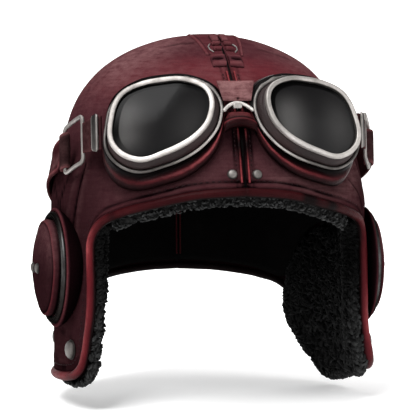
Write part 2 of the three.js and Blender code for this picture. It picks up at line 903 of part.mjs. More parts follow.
function settledDirection(direction) {
  const lean = gogglesLean * radian;
  return direction.applyAxisAngle(new THREE.Vector3(0, 1, 0), -lean);
}

function lensFrame(side) {
  const yaw = lensYaw * radian;
  const tilt = lensTilt * radian;
  const outward = new THREE.Vector3(
    side * Math.sin(yaw) * Math.cos(tilt),
    -Math.cos(yaw) * Math.cos(tilt),
    Math.sin(tilt),
  );
  const across = new THREE.Vector3(side * Math.cos(yaw), Math.sin(yaw), 0);
  const up = new THREE.Vector3().crossVectors(outward, across).multiplyScalar(side);
  const middle = new THREE.Vector3((side * lensSpacing) / 2, -lensReach, brimLevel + lensRise);
  return { middle, outward, across, up };
}

const lensRows = [
  ...lensTable.slice(-3).map((row) => ({ ...row, angle: row.angle - 360 })),
  ...lensTable,
  ...lensTable.slice(0, 3).map((row) => ({ ...row, angle: row.angle + 360 })),
];

// Point of the goggles: grow is its distance outside the rim, off its height over the rim
function lensPoint(side, angle, grow, off) {
  const frame = lensFrame(side);
  const tuck = grow > 0 ? templeTuck * alongTable(lensRows, 'angle', 'tuck', angle) : 0;
  const radius = lensHalfWidth * alongTable(lensRows, 'angle', 'reach', angle) + grow - tuck;
  const point = frame.middle.clone()
    .addScaledVector(frame.across, radius * Math.cos(angle * radian))
    .addScaledVector(frame.up, radius * Math.sin(angle * radian))
    .addScaledVector(frame.outward, off);
  return settle(point);
}

// Ring round the lens from a section of grow and off pairs
function lensRing(side, section) {
  const sections = [];
  for (let i = 0; i < lensSides; i += 1) {
    const angle = (360 * i) / lensSides;
    sections.push(section.map(([grow, off]) => lensPoint(side, angle, grow, off)));
  }
  return bodyFromSections(sections, { around: true, loop: true });
}

function goggleRim(side) {
  return lensRing(side, [
    [-0.2 * rimWidth, 0],
    [0, -0.3 * rimDepth],
    [0, -rimDepth],
    [-rimWidth, -rimDepth],
    [-0.9 * rimWidth, -0.25 * rimDepth],
  ]);
}

function goggleGlass(side) {
  const edge = -(rimWidth + 1.6 * clearance);
  const sections = [];
  for (let i = 0; i < lensSides; i += 1) {
    const angle = (360 * i) / lensSides;
    const radius = lensHalfWidth * alongTable(lensRows, 'angle', 'reach', angle);
    const at = (reach, off) => lensPoint(side, angle, share(-radius, edge, reach), off);
    const high = -0.75 * rimDepth + glassBulge;
    const low = -0.75 * rimDepth;
    sections.push([
      at(0, high),
      at(0.6, share(low, high, 0.64)),
      at(1, low),
      at(1, low - 0.6 * glassWall),
      at(0, high - glassWall),
    ]);
  }
  return bodyFromSections(sections, { around: true, loop: false });
}

const frameTop = -(rimDepth + clearance);
const frameBottom = frameTop - frameDepth;

function goggleFrame(side) {
  return lensRing(side, [
    [-0.25 * rimWidth, frameTop],
    [0.8 * frameFlare, share(frameTop, frameBottom, 0.65)],
    [0.8 * frameFlare, frameBottom],
    [-1.1 * rimWidth, frameBottom],
    [-1.3 * rimWidth, frameTop],
  ]);
}

function goggleBead(side) {
  const middle = 0.8 * frameFlare + 1.3 * clearance + beadRadius;
  const level = frameBottom + beadRadius;
  return lensRing(side, [
    [middle - beadRadius, level],
    [middle, level + beadRadius],
    [middle + beadRadius, level],
    [middle, level - beadRadius],
  ]);
}

// Padded cup between the frame and the leather, hollow behind the glass
function goggleEyecup(side) {
  const top = frameBottom - clearance;
  const frame = lensFrame(side);
  const outward = settledDirection(frame.outward.clone());
  const sections = [];
  for (let i = 0; i < lensSides; i += 1) {
    const angle = (360 * i) / lensSides;
    const skirt = eyecupFlare * alongTable(lensRows, 'angle', 'skirt', angle);
    const foot = (grow) => seatOnCrown(lensPoint(side, angle, grow, top), outward, 1.6 * clearance + seamHalfGap);
    const lipOuter = lensPoint(side, angle, frameFlare + 1.8 * beadRadius, top);
    const lipInner = lensPoint(side, angle, -rimWidth, top);
    const footOuter = foot(skirt);
    const footInner = foot(skirt - eyecupWall);
    const puff = outward.clone().multiplyScalar(eyecupPuff);
    const belly = lipOuter.clone().lerp(footOuter, 0.72).add(puff);
    const shoulder = lipOuter.clone().lerp(footOuter, 0.3).addScaledVector(puff, 0.3);
    sections.push([lipInner, lipOuter, shoulder, belly, footOuter, footInner]);
  }
  return bodyFromSections(sections, { around: true, loop: true });
}

// Box with six named faces, bent through a place function
function bentPlate(columns, place) {
  const sections = [];
  for (let i = 0; i <= columns; i += 1) {
    const across = share(-1, 1, i / columns);
    sections.push([place(across, 1, 1), place(across, 1, -1), place(across, -1, -1), place(across, -1, 1)]);
  }
  return bodyFromSections(sections, { around: false, loop: true });
}

// Leather strip joining the two frames over the nose
function bridgeLeather() {
  const middle = brimLevel + bridgeRise;
  return bentPlate(6, (across, up, out) => {
    const narrow = share(1, bridgeFootShare, (1 - up) / 2);
    const x = across * bridgeHalfWidth * narrow;
    const lean = Math.tan(lensTilt * radian) * (up * bridgeHeight) / 2;
    const dip = bridgeDish * (1 - across * across);
    const y = -lensReach + bridgeSetBack + lean + dip - (out * bridgeWall) / 2;
    return settle(new THREE.Vector3(x, y, middle + (up * bridgeHeight) / 2));
  });
}

// Metal arch under the strip, with the block at its middle
function bridgeArch() {
  const level = brimLevel + bridgeRise - bridgeHeight / 2 - archThickness / 2 - clearance;
  const arch = bentPlate(8, (across, up, out) => {
    const x = across * archHalfSpan;
    const y = -lensReach + archSetBack - archBow * across * across - (out * archThickness) / 2;
    const z = level - archRise * across * across + (up * archThickness) / 2;
    return settle(new THREE.Vector3(x, y, z));
  });
  const block = bentPlate(1, (across, up, out) => {
    const x = (across * archBlock.width) / 2;
    const y = -lensReach + archSetBack - (out * archBlock.depth) / 2;
    const z = level - archBlockDrop - archBlock.height / 2 + (up * archBlock.height) / 2;
    return settle(new THREE.Vector3(x, y, z));
  });
  return joined([arch, block]);
}

// Rounded leather pad under the arch, over the seam
function nosePad() {
  const blockFoot = bridgeHeight / 2 + archBlock.height + nosePadGap;
  const top = brimLevel + bridgeRise - blockFoot;
  const rows = 7;
  const sections = [];
  for (let i = 0; i <= rows; i += 1) {
    const down = i / rows;
    const z = top - nosePadHeight * down;
    const width = nosePadHalfWidth * share(nosePadTop.width, 1, down);
    const depth = nosePadDepth * share(nosePadTop.depth, 1, down);
    const roll = nosePadRoll.height * Math.exp(-(((down - nosePadRoll.place) / nosePadRoll.spread) ** 2));
    const loopPoints = [];
    [[-1, 0], [-1, 0.5], [-0.55, 1], [0.55, 1], [1, 0.5], [1, 0]].forEach(([across, out]) => {
      const x = across * width;
      const arch = nosePadArch * down * (1 - across * across);
      const drop = crownTop - (z + arch);
      const turn = Math.asin(x / crownSection(drop).side) / radian;
      const off = 2 * weltRadius + 5 * clearance + out * (depth + roll);
      loopPoints.push(crownPoint(turn, drop, off).add(new THREE.Vector3(gogglesAside / 2, 0, 0)));
    });
    sections.push(loopPoints);
  }
  return bodyFromSections(sections, { around: false, loop: true });
}

// Strap metalwork behind each lens

// The metalwork leaves the frame's outer end towards a point beside the crown
function strapLine() {
  const yaw = lensYaw * radian;
  const reach = lensHalfWidth + frameFlare - 5 * clearance;
  const startX = lensSpacing / 2 + reach * Math.cos(yaw);
  const startY = -lensReach + reach * Math.sin(yaw) - frameBottom * Math.cos(yaw) - 5 * clearance;
  const aim = leatherPoint(-strapAim.turn, crownHeight - strapRise);
  const length = Math.hypot(-aim.x + strapAim.stand - startX, aim.y - startY);
  const outward = (-aim.x + strapAim.stand - startX) / length;
  const back = (aim.y - startY) / length;
  return { startX, startY, outward, back };
}

// Point beside the goggles: along runs from the frame back to the crown, across is up
// and out is away from the head
function strapPoint(side, along, across, out) {
  const { startX, startY, outward, back } = strapLine();
  const x = startX + along * outward + out * back;
  const y = startY + along * back - out * outward;
  const z = brimLevel + strapRise - strapSag * along * along + across;
  const aside = share(gogglesAside, strapAside, Math.min(along / loopStart, 1));
  return settle(new THREE.Vector3(side * x, y, z), aside);
}

function strapTab(side) {
  return bentPlate(5, (run, up, out) => {
    const along = share(1.2, tabLength, (run + 1) / 2);
    return strapPoint(side, along, (up * tabWidth) / 2, (out * tabWall) / 2);
  });
}

function slideBar(side) {
  return bentPlate(1, (run, up, out) => {
    const along = slidePlace + (run * slideLength) / 2;
    const height = tabWall / 2 + 1.2 * clearance + (1 + out) * 0.9;
    return strapPoint(side, along, (up * slideWidth) / 2, height);
  });
}

// Rounded rectangle of wire between the tab and the strap
function strapLoop(side) {
  const sections = [];
  const halfHeight = loopHeight / 2;
  const halfLength = loopLength / 2;
  const middle = loopStart + halfLength;
  const arcSteps = 3;
  [[1, 1, 0], [-1, 1, 90], [-1, -1, 180], [1, -1, 270]].forEach(([run, up, start]) => {
    for (let i = 0; i < arcSteps; i += 1) {
      const angle = (start + (90 * i) / (arcSteps - 1)) * radian;
      const along = run * (halfLength - loopCorner) + loopCorner * Math.cos(angle);
      const across = up * (halfHeight - loopCorner) + loopCorner * Math.sin(angle);
      const ring = [0, 72, 144, 216, 288].map((turn) => {
        const swing = loopWire * Math.cos(turn * radian);
        const out = loopWire * Math.sin(turn * radian);
        const reach = along + swing * Math.cos(angle);
        return strapPoint(side, middle + reach, across + swing * Math.sin(angle), out);
      });
      sections.push(ring);
    }
  });
  return bodyFromSections(sections, { around: true, loop: true });
}

// Strap end rolled round the loop's rear bar
function strapSleeve(side) {
  const bar = loopStart + loopLength;
  const inside = loopWire + 1.5 * clearance;
  const halfHeight = loopHeight / 2 - sleeveEndGap;
  const sections = [];
  const count = 10;
  for (let i = 0; i < count; i += 1) {
    const angle = (i / count) * 2 * Math.PI;
    const at = (radius, up) => (
      strapPoint(side, bar + radius * Math.cos(angle), up * halfHeight, radius * Math.sin(angle))
    );
    const outside = inside + sleeveWall;
    sections.push([at(inside, 1), at(outside, 1), at(outside, -1), at(inside, -1)]);
  }
  return bodyFromSections(sections, { around: true, loop: true });
}

// Strap from one sleeve round the back of the crown to the other
function goggleStrap() {
  const columns = 36;
  const start = strapTable[0].turn;
  const sections = [];
  for (let i = 0; i <= columns; i += 1) {
    const turn = share(-(180 - start), 180 - start, i / columns) + 180;
    const folded = turn > 180 ? 360 - turn : turn;
    const way = turn > 180 ? -1 : 1;
    const rise = crownHeight * alongTable(strapTable, 'turn', 'rise', folded);
    const stand = strapStand * alongTable(strapTable, 'turn', 'stand', folded);
    const drop = crownHeight - rise;
    const outward = leatherNormal(way * folded, drop);
    const middle = leatherPoint(way * folded, drop);
    middle.x += way * seamHalfGap;
    middle.addScaledVector(outward, stand);
    const round = new THREE.Vector3(0, 0, 1).cross(outward);
    const up = outward.clone().cross(round).normalize();
    const aside = strapAside * (1 - smoothShare(74, 98, folded));
    const corners = [[1, 1], [1, -1], [-1, -1], [-1, 1]].map(([high, out]) => {
      const corner = middle.clone()
        .addScaledVector(up, (high * strapWidth) / 2)
        .addScaledVector(outward, (out * strapWall) / 2);
      return settle(corner, aside);
    });
    sections.push(corners);
  }
  return bodyFromSections(sections, { around: false, loop: true });
}

// Crest fitting

// Sheet between two y values and two x values on the crown, from off low to off high
function crestSheet(side, fromY, toY, widthAt, low, high, columns) {
  const sections = [];
  for (let i = 0; i <= columns; i += 1) {
    const amount = i / columns;
    const y = share(fromY, toY, amount);
    const width = widthAt(amount);
    const near = seamHalfGap + crestSeamGap;
    const across = [near, share(near, width, 0.5), width];
    const outer = across.map((x) => crestPoint(side * x, y, high));
    const inner = across.map((x) => crestPoint(side * x, y, low)).reverse();
    sections.push([...outer, ...inner]);
  }
  return bodyFromSections(sections, { around: false, loop: true });
}

function crestPatch(side) {
  const low = 2.2 * clearance;
  const high = low + crestWall;
  const widthAt = (amount) => crestHalfWidth * alongTable(crestTable, 'along', 'width', amount);
  const patch = crestSheet(side, -crestFront, crestBack, widthAt, low, high, 6);
  const sunk = high - 0.5 * crestWall;
  const bars = lacingPlaces.map((place) => {
    const front = -place - lacingBar / 2;
    return crestSheet(side, front, front + lacingBar, () => lacingHalfWidth, sunk, high + lacingRise, 1);
  });
  const tabBack = crestTab.length - crestTab.front;
  const tab = crestSheet(side, -crestTab.front, tabBack, () => crestTab.halfWidth, sunk, high + crestTab.rise, 2);
  return joined([patch, ...bars, tab]);
}

// Raised frame with a slot, across the front end of the patch
function crestKeeper(side) {
  const low = 2 * clearance;
  const back = -crestFront - 2 * clearance;
  const front = back - keeperLength;
  const near = seamHalfGap + crestSeamGap;
  const middleX = (near + keeperHalfWidth) / 2;
  const middleY = (front + back) / 2;
  const halfX = (keeperHalfWidth - near) / 2;
  const halfY = keeperLength / 2;
  const outline = [[1, 0], [1, 0.8], [0.8, 1], [0, 1], [-1, 1], [-1, 0], [-1, -1], [0, -1], [0.8, -1], [1, -0.8]];
  const sections = outline.map(([across, along]) => {
    const at = (inset, off) => {
      const x = middleX + across * (halfX - inset);
      const y = middleY + along * (halfY - inset);
      return crestPoint(side * x, y, off);
    };
    return [at(0, low), at(0, low + 0.7 * keeperWall), at(keeperBar / 2, low + keeperWall), at(keeperBar, low)];
  });
  return bodyFromSections(sections, { around: true, loop: true });
}

// Steel ring beside the lacing, its middle hidden under the leather
function crestRing(side) {
  const off = 3 * clearance + crestWall + crestRingWire;
  const places = [[0.95, 0.97], [1.25, 0.91], [1.28, 0.84], [1.0, 0.78]];
  const points = places.map(([across, along]) => (
    crestPoint(side * (across * lacingHalfWidth + crestRingOut), -along * crestFront, off)
  ));
  return tubeThrough(points, crestRingWire, 8, 6);
}

// The whole helmet

const helmet = new THREE.Group();

helmet.add(piece('crown_lining', crownLining(), 'cloth'));
helmet.add(piece('brim_fleece', brimFleece(), 'fleece'));
helmet.add(piece('bridge_leather', bridgeLeather(), 'leather'));
helmet.add(piece('bridge_arch', bridgeArch(), 'steel'));
helmet.add(piece('nose_pad', nosePad(), 'leather'));
helmet.add(piece('goggle_strap', goggleStrap(), 'leather'));

const weltFront = { from: crownHeight - 2 * pipingRadius, to: 0.29 * crownHeight };
const weltBack = { from: crownHeight + 0.41 * flapFall, to: 0.065 * crownHeight };

Object.entries(sides).forEach(([word, side]) => {
  helmet.add(piece(`leather_panel_${word}`, leatherPanel(side), 'leather'));
  helmet.add(piece(`edge_piping_${word}`, edgePiping(side), 'piping'));
  helmet.add(piece(`front_welt_${word}`, seamWelt(side, weltFront.from, weltFront.to, 0), 'piping'));
  helmet.add(piece(`back_welt_${word}`, seamWelt(side, weltBack.from, weltBack.to, 180), 'piping'));
  helmet.add(piece(`lining_welt_${word}`, liningWelt(side), 'piping'));
  helmet.add(piece(`flap_fleece_${word}`, flapFleece(side), 'fleece'));
  helmet.add(...cupPieces(side, word));
  helmet.add(...flapStuds(side, word));
  helmet.add(brimRivet(side, word));
  helmet.add(piece(`goggle_rim_${word}`, goggleRim(side), 'steel'));
  helmet.add(piece(`goggle_glass_${word}`, goggleGlass(side), 'glass'));
  helmet.add(piece(`goggle_frame_${word}`, goggleFrame(side), 'frame'));
  helmet.add(piece(`goggle_bead_${word}`, goggleBead(side), 'steel'));
  helmet.add(piece(`goggle_eyecup_${word}`, goggleEyecup(side), 'padding'));
  helmet.add(piece(`strap_tab_${word}`, strapTab(side), 'leather'));
  helmet.add(piece(`slide_bar_${word}`, slideBar(side), 'steel'));
  helmet.add(piece(`strap_loop_${word}`, strapLoop(side), 'steel'));
  helmet.add(piece(`strap_sleeve_${word}`, strapSleeve(side), 'leather'));
  helmet.add(piece(`crest_patch_${word}`, crestPatch(side), 'leather'));
  helmet.add(piece(`crest_keeper_${word}`, crestKeeper(side), 'leather'));
  helmet.add(piece(`crest_ring_${word}`, crestRing(side), 'steel'));
});

export default helmet;
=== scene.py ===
import math
import bmesh
import bpy
import numpy as np
from mathutils import Matrix


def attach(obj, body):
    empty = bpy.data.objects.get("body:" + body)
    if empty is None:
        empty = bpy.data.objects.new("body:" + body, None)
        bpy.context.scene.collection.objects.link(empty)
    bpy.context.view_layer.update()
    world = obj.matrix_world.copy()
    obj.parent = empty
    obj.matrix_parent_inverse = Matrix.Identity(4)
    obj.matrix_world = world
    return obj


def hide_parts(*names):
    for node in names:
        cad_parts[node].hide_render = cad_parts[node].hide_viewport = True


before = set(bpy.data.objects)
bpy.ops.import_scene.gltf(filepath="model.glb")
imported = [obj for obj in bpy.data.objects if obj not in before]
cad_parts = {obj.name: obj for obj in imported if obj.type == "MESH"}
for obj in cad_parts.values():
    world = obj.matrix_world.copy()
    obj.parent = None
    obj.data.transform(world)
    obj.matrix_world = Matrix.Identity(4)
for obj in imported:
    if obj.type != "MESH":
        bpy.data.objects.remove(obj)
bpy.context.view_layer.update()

# Sizes in millimetres, the same as the solids'. The front faces -Y, +X is the wearer's left.
MM = 0.001
CROWN_HEIGHT, HALF_WIDTH, CROWN_FRONT, CROWN_BACK, FLAP_FALL = 104, 104, 106, 108, 120
RIGHT_FLARE, RIGHT_SPREAD = 3.6, 6
LEATHER_WALL, LINING_WALL, FLEECE_PILE, BRIM_PILE, CLEARANCE, SHELL_PLAY, SEAM_HALF_GAP = 2, 3, 8, 5, 0.3, 1.7, 0.8
PIPING_RADIUS, WELT_RADIUS, WELT_SPACING, LINING_WELT_RADIUS = 2.9, 0.8, 2.35, 0.6
CROWN_TOP = LEATHER_WALL + SHELL_PLAY + LINING_WALL
BRIM_LEVEL = CROWN_TOP - CROWN_HEIGHT
SIDES = {"left": -1, "right": 1}

CROWN = np.array([
    (0, 0, 0, 0), (0.01, 0.17, 0.125, 0.15), (0.058, 0.37, 0.283, 0.352), (0.173, 0.6, 0.476, 0.574),
    (0.327, 0.757, 0.646, 0.741), (0.48, 0.85, 0.774, 0.847), (0.654, 0.906, 0.879, 0.921),
    (0.865, 0.958, 0.951, 0.972), (1, 0.982, 0.99, 0.994), (1.25, 0.987, 1.02, 1), (1.56, 0.981, 1.1, 0.99),
    (1.92, 0.972, 1.15, 0.975), (2.3, 0.975, 1.17, 0.96),
])
EDGE = np.array([
    (0, 0), (15, 0.014), (31, 0.0625), (45, 0.114), (51, 0.149), (54.8, 0.196), (56.8, 0.25), (57.5, 0.34),
    (57.6, 0.45), (58, 0.55), (59, 0.65), (60.6, 0.75), (62, 0.83), (64, 0.895), (68, 0.94), (74, 0.962),
    (82, 0.975), (95, 0.985), (106, 0.985), (113.5, 0.96), (118.5, 0.915), (122.3, 0.855), (125.6, 0.78),
    (127.9, 0.71), (129.3, 0.65), (131.3, 0.595), (136, 0.547), (145, 0.508), (156, 0.48), (167,
        0.463), (180, 0.455),
])
FLEECE_EDGE = np.array([
    (52, 0.165), (55.6, 0.215), (57.6, 0.3), (57.8, 0.45), (58.6, 0.6), (60, 0.74), (61.2, 0.86), (63.5,
        0.96),
    (69, 1), (79, 1.015), (90, 1.045), (100, 1.075), (107, 1.085), (112.5, 1.06), (116, 1), (120, 0.94),
    (122.6, 0.87), (125.4, 0.79), (127.9, 0.71), (128.6, 0.64), (128.4, 0.575),
])
FLEECE_TOP = np.array([
    (53.5, 0.155), (60, 0.17), (75, 0.185), (95, 0.19), (110, 0.2), (119, 0.26), (124.5, 0.38), (127.6, 0.52),
])
LINING_EDGE = np.array([
    (0, -0.1), (15, -0.086), (30, -0.03), (43, 0.025), (52, 0.09), (60, 0.14), (80, 0.165), (106, 0.175),
    (116, 0.2), (122.5, 0.28), (127, 0.39), (130.6, 0.5), (134, 0.515), (140, 0.49), (146, 0.468), (156,
        0.444),
    (167, 0.429), (180, 0.421),
])


# Shared formulas

def share(start, end, amount):
    """Straight blend: the start plus an amount of the way to the end."""
    return start + (end - start) * amount


def smooth(low, high, value):
    """From 0 at low to 1 at high, with level ends: three squares less two cubes of the share of the way."""
    amount = np.clip((value - low) / (high - low), 0, 1)
    return amount * amount * (3 - 2 * amount)


def bump(value, middle, width):
    """A bell: 1 at the middle, falling as the exponential of minus the squared distance in widths."""
    return np.exp(-(((value - middle) / width) ** 2))


def along(keys, values, at):
    """Smooth curve through a table: a cubic between two rows, each row's slope weighed from its neighbours'."""
    step = np.diff(keys)
    rate = np.diff(values) / step
    slope = np.concatenate([
        rate[:1], (rate[:-1] * step[1:] + rate[1:] * step[:-1]) / (step[:-1] + step[1:]), rate[-1:],
    ])
    at = np.asarray(at, float)
    i = np.clip(np.searchsorted(keys, at, side="right") - 1, 0, len(keys) - 2)
    t = np.clip((at - keys[i]) / step[i], 0, 1)
    value = share(values[i], values[i + 1], t * t * (3 - 2 * t))
    return value + t * (1 - t) ** 2 * step[i] * slope[i] - t * t * (1 - t) * step[i] * slope[i + 1]


def unit(vectors):
    """Each vector divided by its length."""
    return vectors / np.maximum(np.linalg.norm(vectors, axis=-1, keepdims=True), 1e-12)


def chance(i, j, k, seed):
    """A fixed number from 0 to 1 for each lattice corner: the far decimals of the sine of a weighted sum."""
    value = np.sin(i * 127.1 + j * 311.7 + k * 74.7 + seed * 19.19) * 43758.5453
    return value - np.floor(value)


def lumps(points, size, seed=0):
    """Soft noise from -1 to 1: the chances at the eight corners of each lattice cell, blended smoothly."""
    place = points / size + 100
    base = np.floor(place)
    f = place - base
    f = f * f * (3 - 2 * f)
    total = 0
    for corner in np.ndindex(2, 2, 2):
        weight = np.prod(np.where(np.array(corner) == 1, f, 1 - f), axis=-1)
        total = total + weight * chance(*np.moveaxis(base + np.array(corner), -1, 0), seed)
    return 2 * total - 1


def cells(points, size, seed=0):
    """Distance to the nearest of one jittered middle per lattice cell, in cell sizes."""
    place = points / size + 100
    base = np.floor(place)
    best = np.full(place.shape[:-1], 9.0)
    for corner in np.ndindex(3, 3, 3):
        cell = base + np.array(corner) - 1
        axes = np.moveaxis(cell, -1, 0)
        jitter = np.stack([chance(*axes, seed + k) for k in range(3)], -1)
        best = np.minimum(best, np.linalg.norm(place - cell - jitter, axis=-1))
    return best


# The crown's surface, as a turn from the front in degrees and a drop from the top

def crown_section(drop):
    """Half sizes of the crown at a drop: the table's shares, read along the root of the drop."""
    root = np.sqrt(np.maximum(drop, 0) / CROWN_HEIGHT)
    keys = np.sqrt(CROWN[:, 0])
    return (
        HALF_WIDTH * along(keys, CROWN[:, 1], root),
        CROWN_FRONT * along(keys, CROWN[:, 2], root),
        CROWN_BACK * along(keys, CROWN[:, 3], root),
    )


def flare(drop):
    """How far the right flap swings out: its full flare eased in over the lower part of the flap."""
    return RIGHT_FLARE * smooth(0.62, 1, (drop - CROWN_HEIGHT) / FLAP_FALL)


def sided_turn(side, turn, drop):
    """The right flap's front edge lies a little further round."""
    if side < 0:
        return turn
    below = smooth(0.05, 0.16, (drop - CROWN_HEIGHT) / FLAP_FALL)
    return turn + RIGHT_SPREAD * below * (1 - smooth(75, 115, turn))


def leather_point(turn, drop):
    """Ellipse of the section's half sizes at the turn, with the right flap's flare."""
    turn, drop = np.broadcast_arrays(np.asarray(turn, float), np.asarray(drop, float))
    side, front, back = crown_section(drop)
    angle = np.radians(turn)
    depth = np.where(np.cos(angle) > 0, front, back)
    x = side * np.sin(angle) + flare(drop) * np.maximum(np.sin(angle), 0)
    return np.stack([x, -depth * np.cos(angle), CROWN_TOP - drop], -1)


def leather_normal(turn, drop):
    """Cross product of small steps down and round the surface."""
    turn, drop = np.broadcast_arrays(np.asarray(turn, float), np.asarray(drop, float))
    small = 0.4
    deep = np.maximum(drop, small)
    rounds = leather_point(turn + small, deep) - leather_point(turn - small, deep)
    down = leather_point(turn, deep + small) - leather_point(turn, deep - small)
    normal = unit(np.cross(down, rounds))
    return np.where((drop < small)[..., None], np.array([0, 0, 1.0]), normal)


def crown_point(turn, drop, off):
    """Point of the leather raised by an offset along its normal."""
    return leather_point(turn, drop) + leather_normal(turn, drop) * np.asarray(off, float)[..., None]


def crown_gap(points):
    """Roughly how far points lie outside the leather."""
    drop = CROWN_TOP - points[..., 2]
    side, front, back = crown_section(drop)
    depth = np.where(points[..., 1] < 0, front, back)
    x = np.where(points[..., 0] > 0, points[..., 0] - flare(drop), points[..., 0])
    ratio = np.hypot(x / side, points[..., 1] / depth)
    return (ratio - 1) * np.minimum(side, depth)


def seat(points, direction, gap):
    """Moves points against a direction, halving the step each time, until they lie just off the leather."""
    near, far = np.zeros(points.shape[:-1]), np.full(points.shape[:-1], 80.0)
    for _ in range(34):
        middle = (near + far) / 2
        outside = crown_gap(points - direction * middle[..., None]) > gap
        near, far = np.where(outside, middle, near), np.where(outside, far, middle)
    return points - direction * near[..., None]


def measured(table):
    """Distance along a run of turns and falls, in millimetres on the leather."""
    across = np.diff(table[:, 0]) * np.pi / 180 * HALF_WIDTH
    down = np.diff(table[:, 1]) * FLAP_FALL
    return np.concatenate([[0], np.cumsum(np.hypot(across, down))])


def run_point(table, amount):
    """Turn and drop at a share of a run's length, read smoothly from its table."""
    length = measured(table)
    at = np.asarray(amount) * length[-1]
    return along(length, table[:, 0], at), CROWN_HEIGHT + FLAP_FALL * along(length, table[:, 1], at)


def edge_point(side, amount):
    """Turn and drop of the leather's edge at a share of its length."""
    turn, drop = run_point(EDGE, amount)
    return sided_turn(side, turn, drop), drop


def inset_edge(side, amount, inset):
    """The edge's run moved square to itself, towards the leather."""
    small = 0.002
    turn, drop = edge_point(side, amount)
    turn_0, drop_0 = edge_point(side, np.maximum(amount - small, 0))
    turn_1, drop_1 = edge_point(side, np.minimum(amount + small, 1))
    across = (turn_1 - turn_0) * np.pi / 180 * HALF_WIDTH
    down = drop_1 - drop_0
    length = np.hypot(across, down)
    return turn + inset * down / length / (np.pi / 180 * HALF_WIDTH), drop - inset * across / length


def shell_line(spread, edge_turn, edge_drop, amount):
    """Line from the crown's top to an edge point: the turn swings to the edge's as the power one and a half."""
    shoulder, bend = 0.8 * CROWN_HEIGHT, 0.7
    turn = share(spread, edge_turn, amount ** 1.5)
    upper = shoulder * (amount / bend) ** 2
    lower = share(shoulder, edge_drop, (amount - bend) / (1 - bend))
    return turn, np.where(amount <= bend, upper, lower)


# Making pieces

def body(sections, around, loop):
    """Points and quads of a closed body from sections of points, joined in turn, with strips for its ends."""
    count, size = sections.shape[:2]
    spans = count if around else count - 1
    steps = size if loop else size - 1
    i, j = np.meshgrid(np.arange(spans), np.arange(steps), indexing="ij")
    corner = lambda a, b: (a % count) * size + (b % size)
    faces = [np.stack([corner(i, j), corner(i, j + 1), corner(i + 1, j + 1), corner(i + 1, j)],
        -1).reshape(-1, 4)]
    if not around:
        j = np.arange(size // 2 - (1 if size % 2 == 0 else 0))
        other = size - 1 - j
        end = count - 1
        faces.append(np.stack([corner(0, other), corner(0, other - 1), corner(0, j + 1), corner(0, j)], -1))
        faces.append(np.stack([corner(end, j), corner(end, j + 1), corner(end, other - 1),
            corner(end, other)], -1))
    faces = np.concatenate(faces)
    points = sections.reshape(-1, 3)
    a, b, c, d = (points[faces[:, k]] for k in range(4))
    volume = np.einsum("ij,ij->", a, np.cross(b, c)) + np.einsum("ij,ij->", a, np.cross(c, d))
    return points, faces if volume > 0 else faces[:, ::-1]


def attribute_of(value, shape):
    """One value for each point, in the order of the points."""
    return np.broadcast_to(np.asarray(value, float), shape).reshape(-1)


def patch(sections, around=False, loop=True, wear_and_highlight=0.0, shade=0.0, red=0.0, flow=None):
    """A closed body with its worn spots and painted highlights, its painted shade and its redness from 0 to 1 (the
    redness in places a painted red highlight), and the flow that streaks follow.
    """
    points, faces = body(sections, around, loop)
    shape = sections.shape[:2]
    flow = points if flow is None else np.broadcast_to(flow, sections.shape).reshape(-1, 3)
    return points, faces, attribute_of(wear_and_highlight, shape), attribute_of(shade, shape), attribute_of(red,
        shape), flow


def made(name, patches, material, nodes=(), sharp=None):
    """Joins patches into one piece, with doubled points merged, and rides it on the root."""
    counts = np.cumsum([0] + [len(p[0]) for p in patches])
    points = np.concatenate([p[0] for p in patches]) * MM
    faces = np.concatenate([p[1] + start for p, start in zip(patches, counts)]).astype(np.int32)
    mesh = bpy.data.meshes.new(name)
    mesh.vertices.add(len(points))
    mesh.vertices.foreach_set("co", points.astype(np.float32).ravel())
    mesh.loops.add(faces.size)
    mesh.loops.foreach_set("vertex_index", faces.ravel())
    mesh.polygons.add(len(faces))
    mesh.polygons.foreach_set("loop_start", np.arange(0, faces.size, 4, dtype=np.int32))
    mesh.update(calc_edges=True)
    for column, word in ((2, "wear_and_highlight"), (3, "shade"), (4, "red")):
        layer = mesh.attributes.new(word, "FLOAT", "POINT")
        layer.data.foreach_set("value", np.concatenate([p[column] for p in patches]).astype(np.float32))
    layer = mesh.attributes.new("flow", "FLOAT_VECTOR", "POINT")
    layer.data.foreach_set("vector",
        (np.concatenate([p[5] for p in patches]) * MM).astype(np.float32).ravel())
    work = bmesh.new()
    work.from_mesh(mesh)
    bmesh.ops.remove_doubles(work, verts=work.verts, dist=2e-6)
    bmesh.ops.dissolve_degenerate(work, edges=work.edges, dist=1e-7)
    work.to_mesh(mesh)
    work.free()
    mesh.polygons.foreach_set("use_smooth", np.ones(len(mesh.polygons), bool))
    if sharp is not None:
        mesh.set_sharp_from_angle(angle=math.radians(sharp))
    mesh.materials.append(material)
    item = bpy.data.objects.new(name, mesh)
    bpy.context.scene.collection.objects.link(item)
    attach(item, "root")
    if nodes:
        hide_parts(*nodes)
    return item


def frame_along(path, hint):
    """Direction, side and rise at each point of a path: the rise is the hint made square to the path."""
    ahead = unit(np.gradient(path, axis=0))
    aside = unit(np.cross(ahead, hint))
    return ahead, aside, np.cross(aside, ahead)


def tube(path, radius, hint, sides=12, flat=1.0, around=False):
    """Sections of a round or flattened cord: a circle in the plane of side and rise at each path point."""
    if around:
        wide = np.concatenate([path[-2:], path, path[:2]])
        wide_hint = np.concatenate([hint[-2:], hint, hint[:2]]) if hint.ndim > 1 else hint
        _, aside, rise = frame_along(wide, wide_hint)
        aside, rise = aside[2:-2], rise[2:-2]
    else:
        _, aside, rise = frame_along(path, hint)
    angle = np.linspace(0, 2 * np.pi, sides, endpoint=False)
    radius = np.broadcast_to(np.asarray(radius, float), (len(path),))[:, None, None]
    circle = aside[:, None] * np.cos(angle)[None, :, None] + flat * rise[:, None] * np.sin(angle)[None, :,
        None]
    return path[:, None] + radius * circle


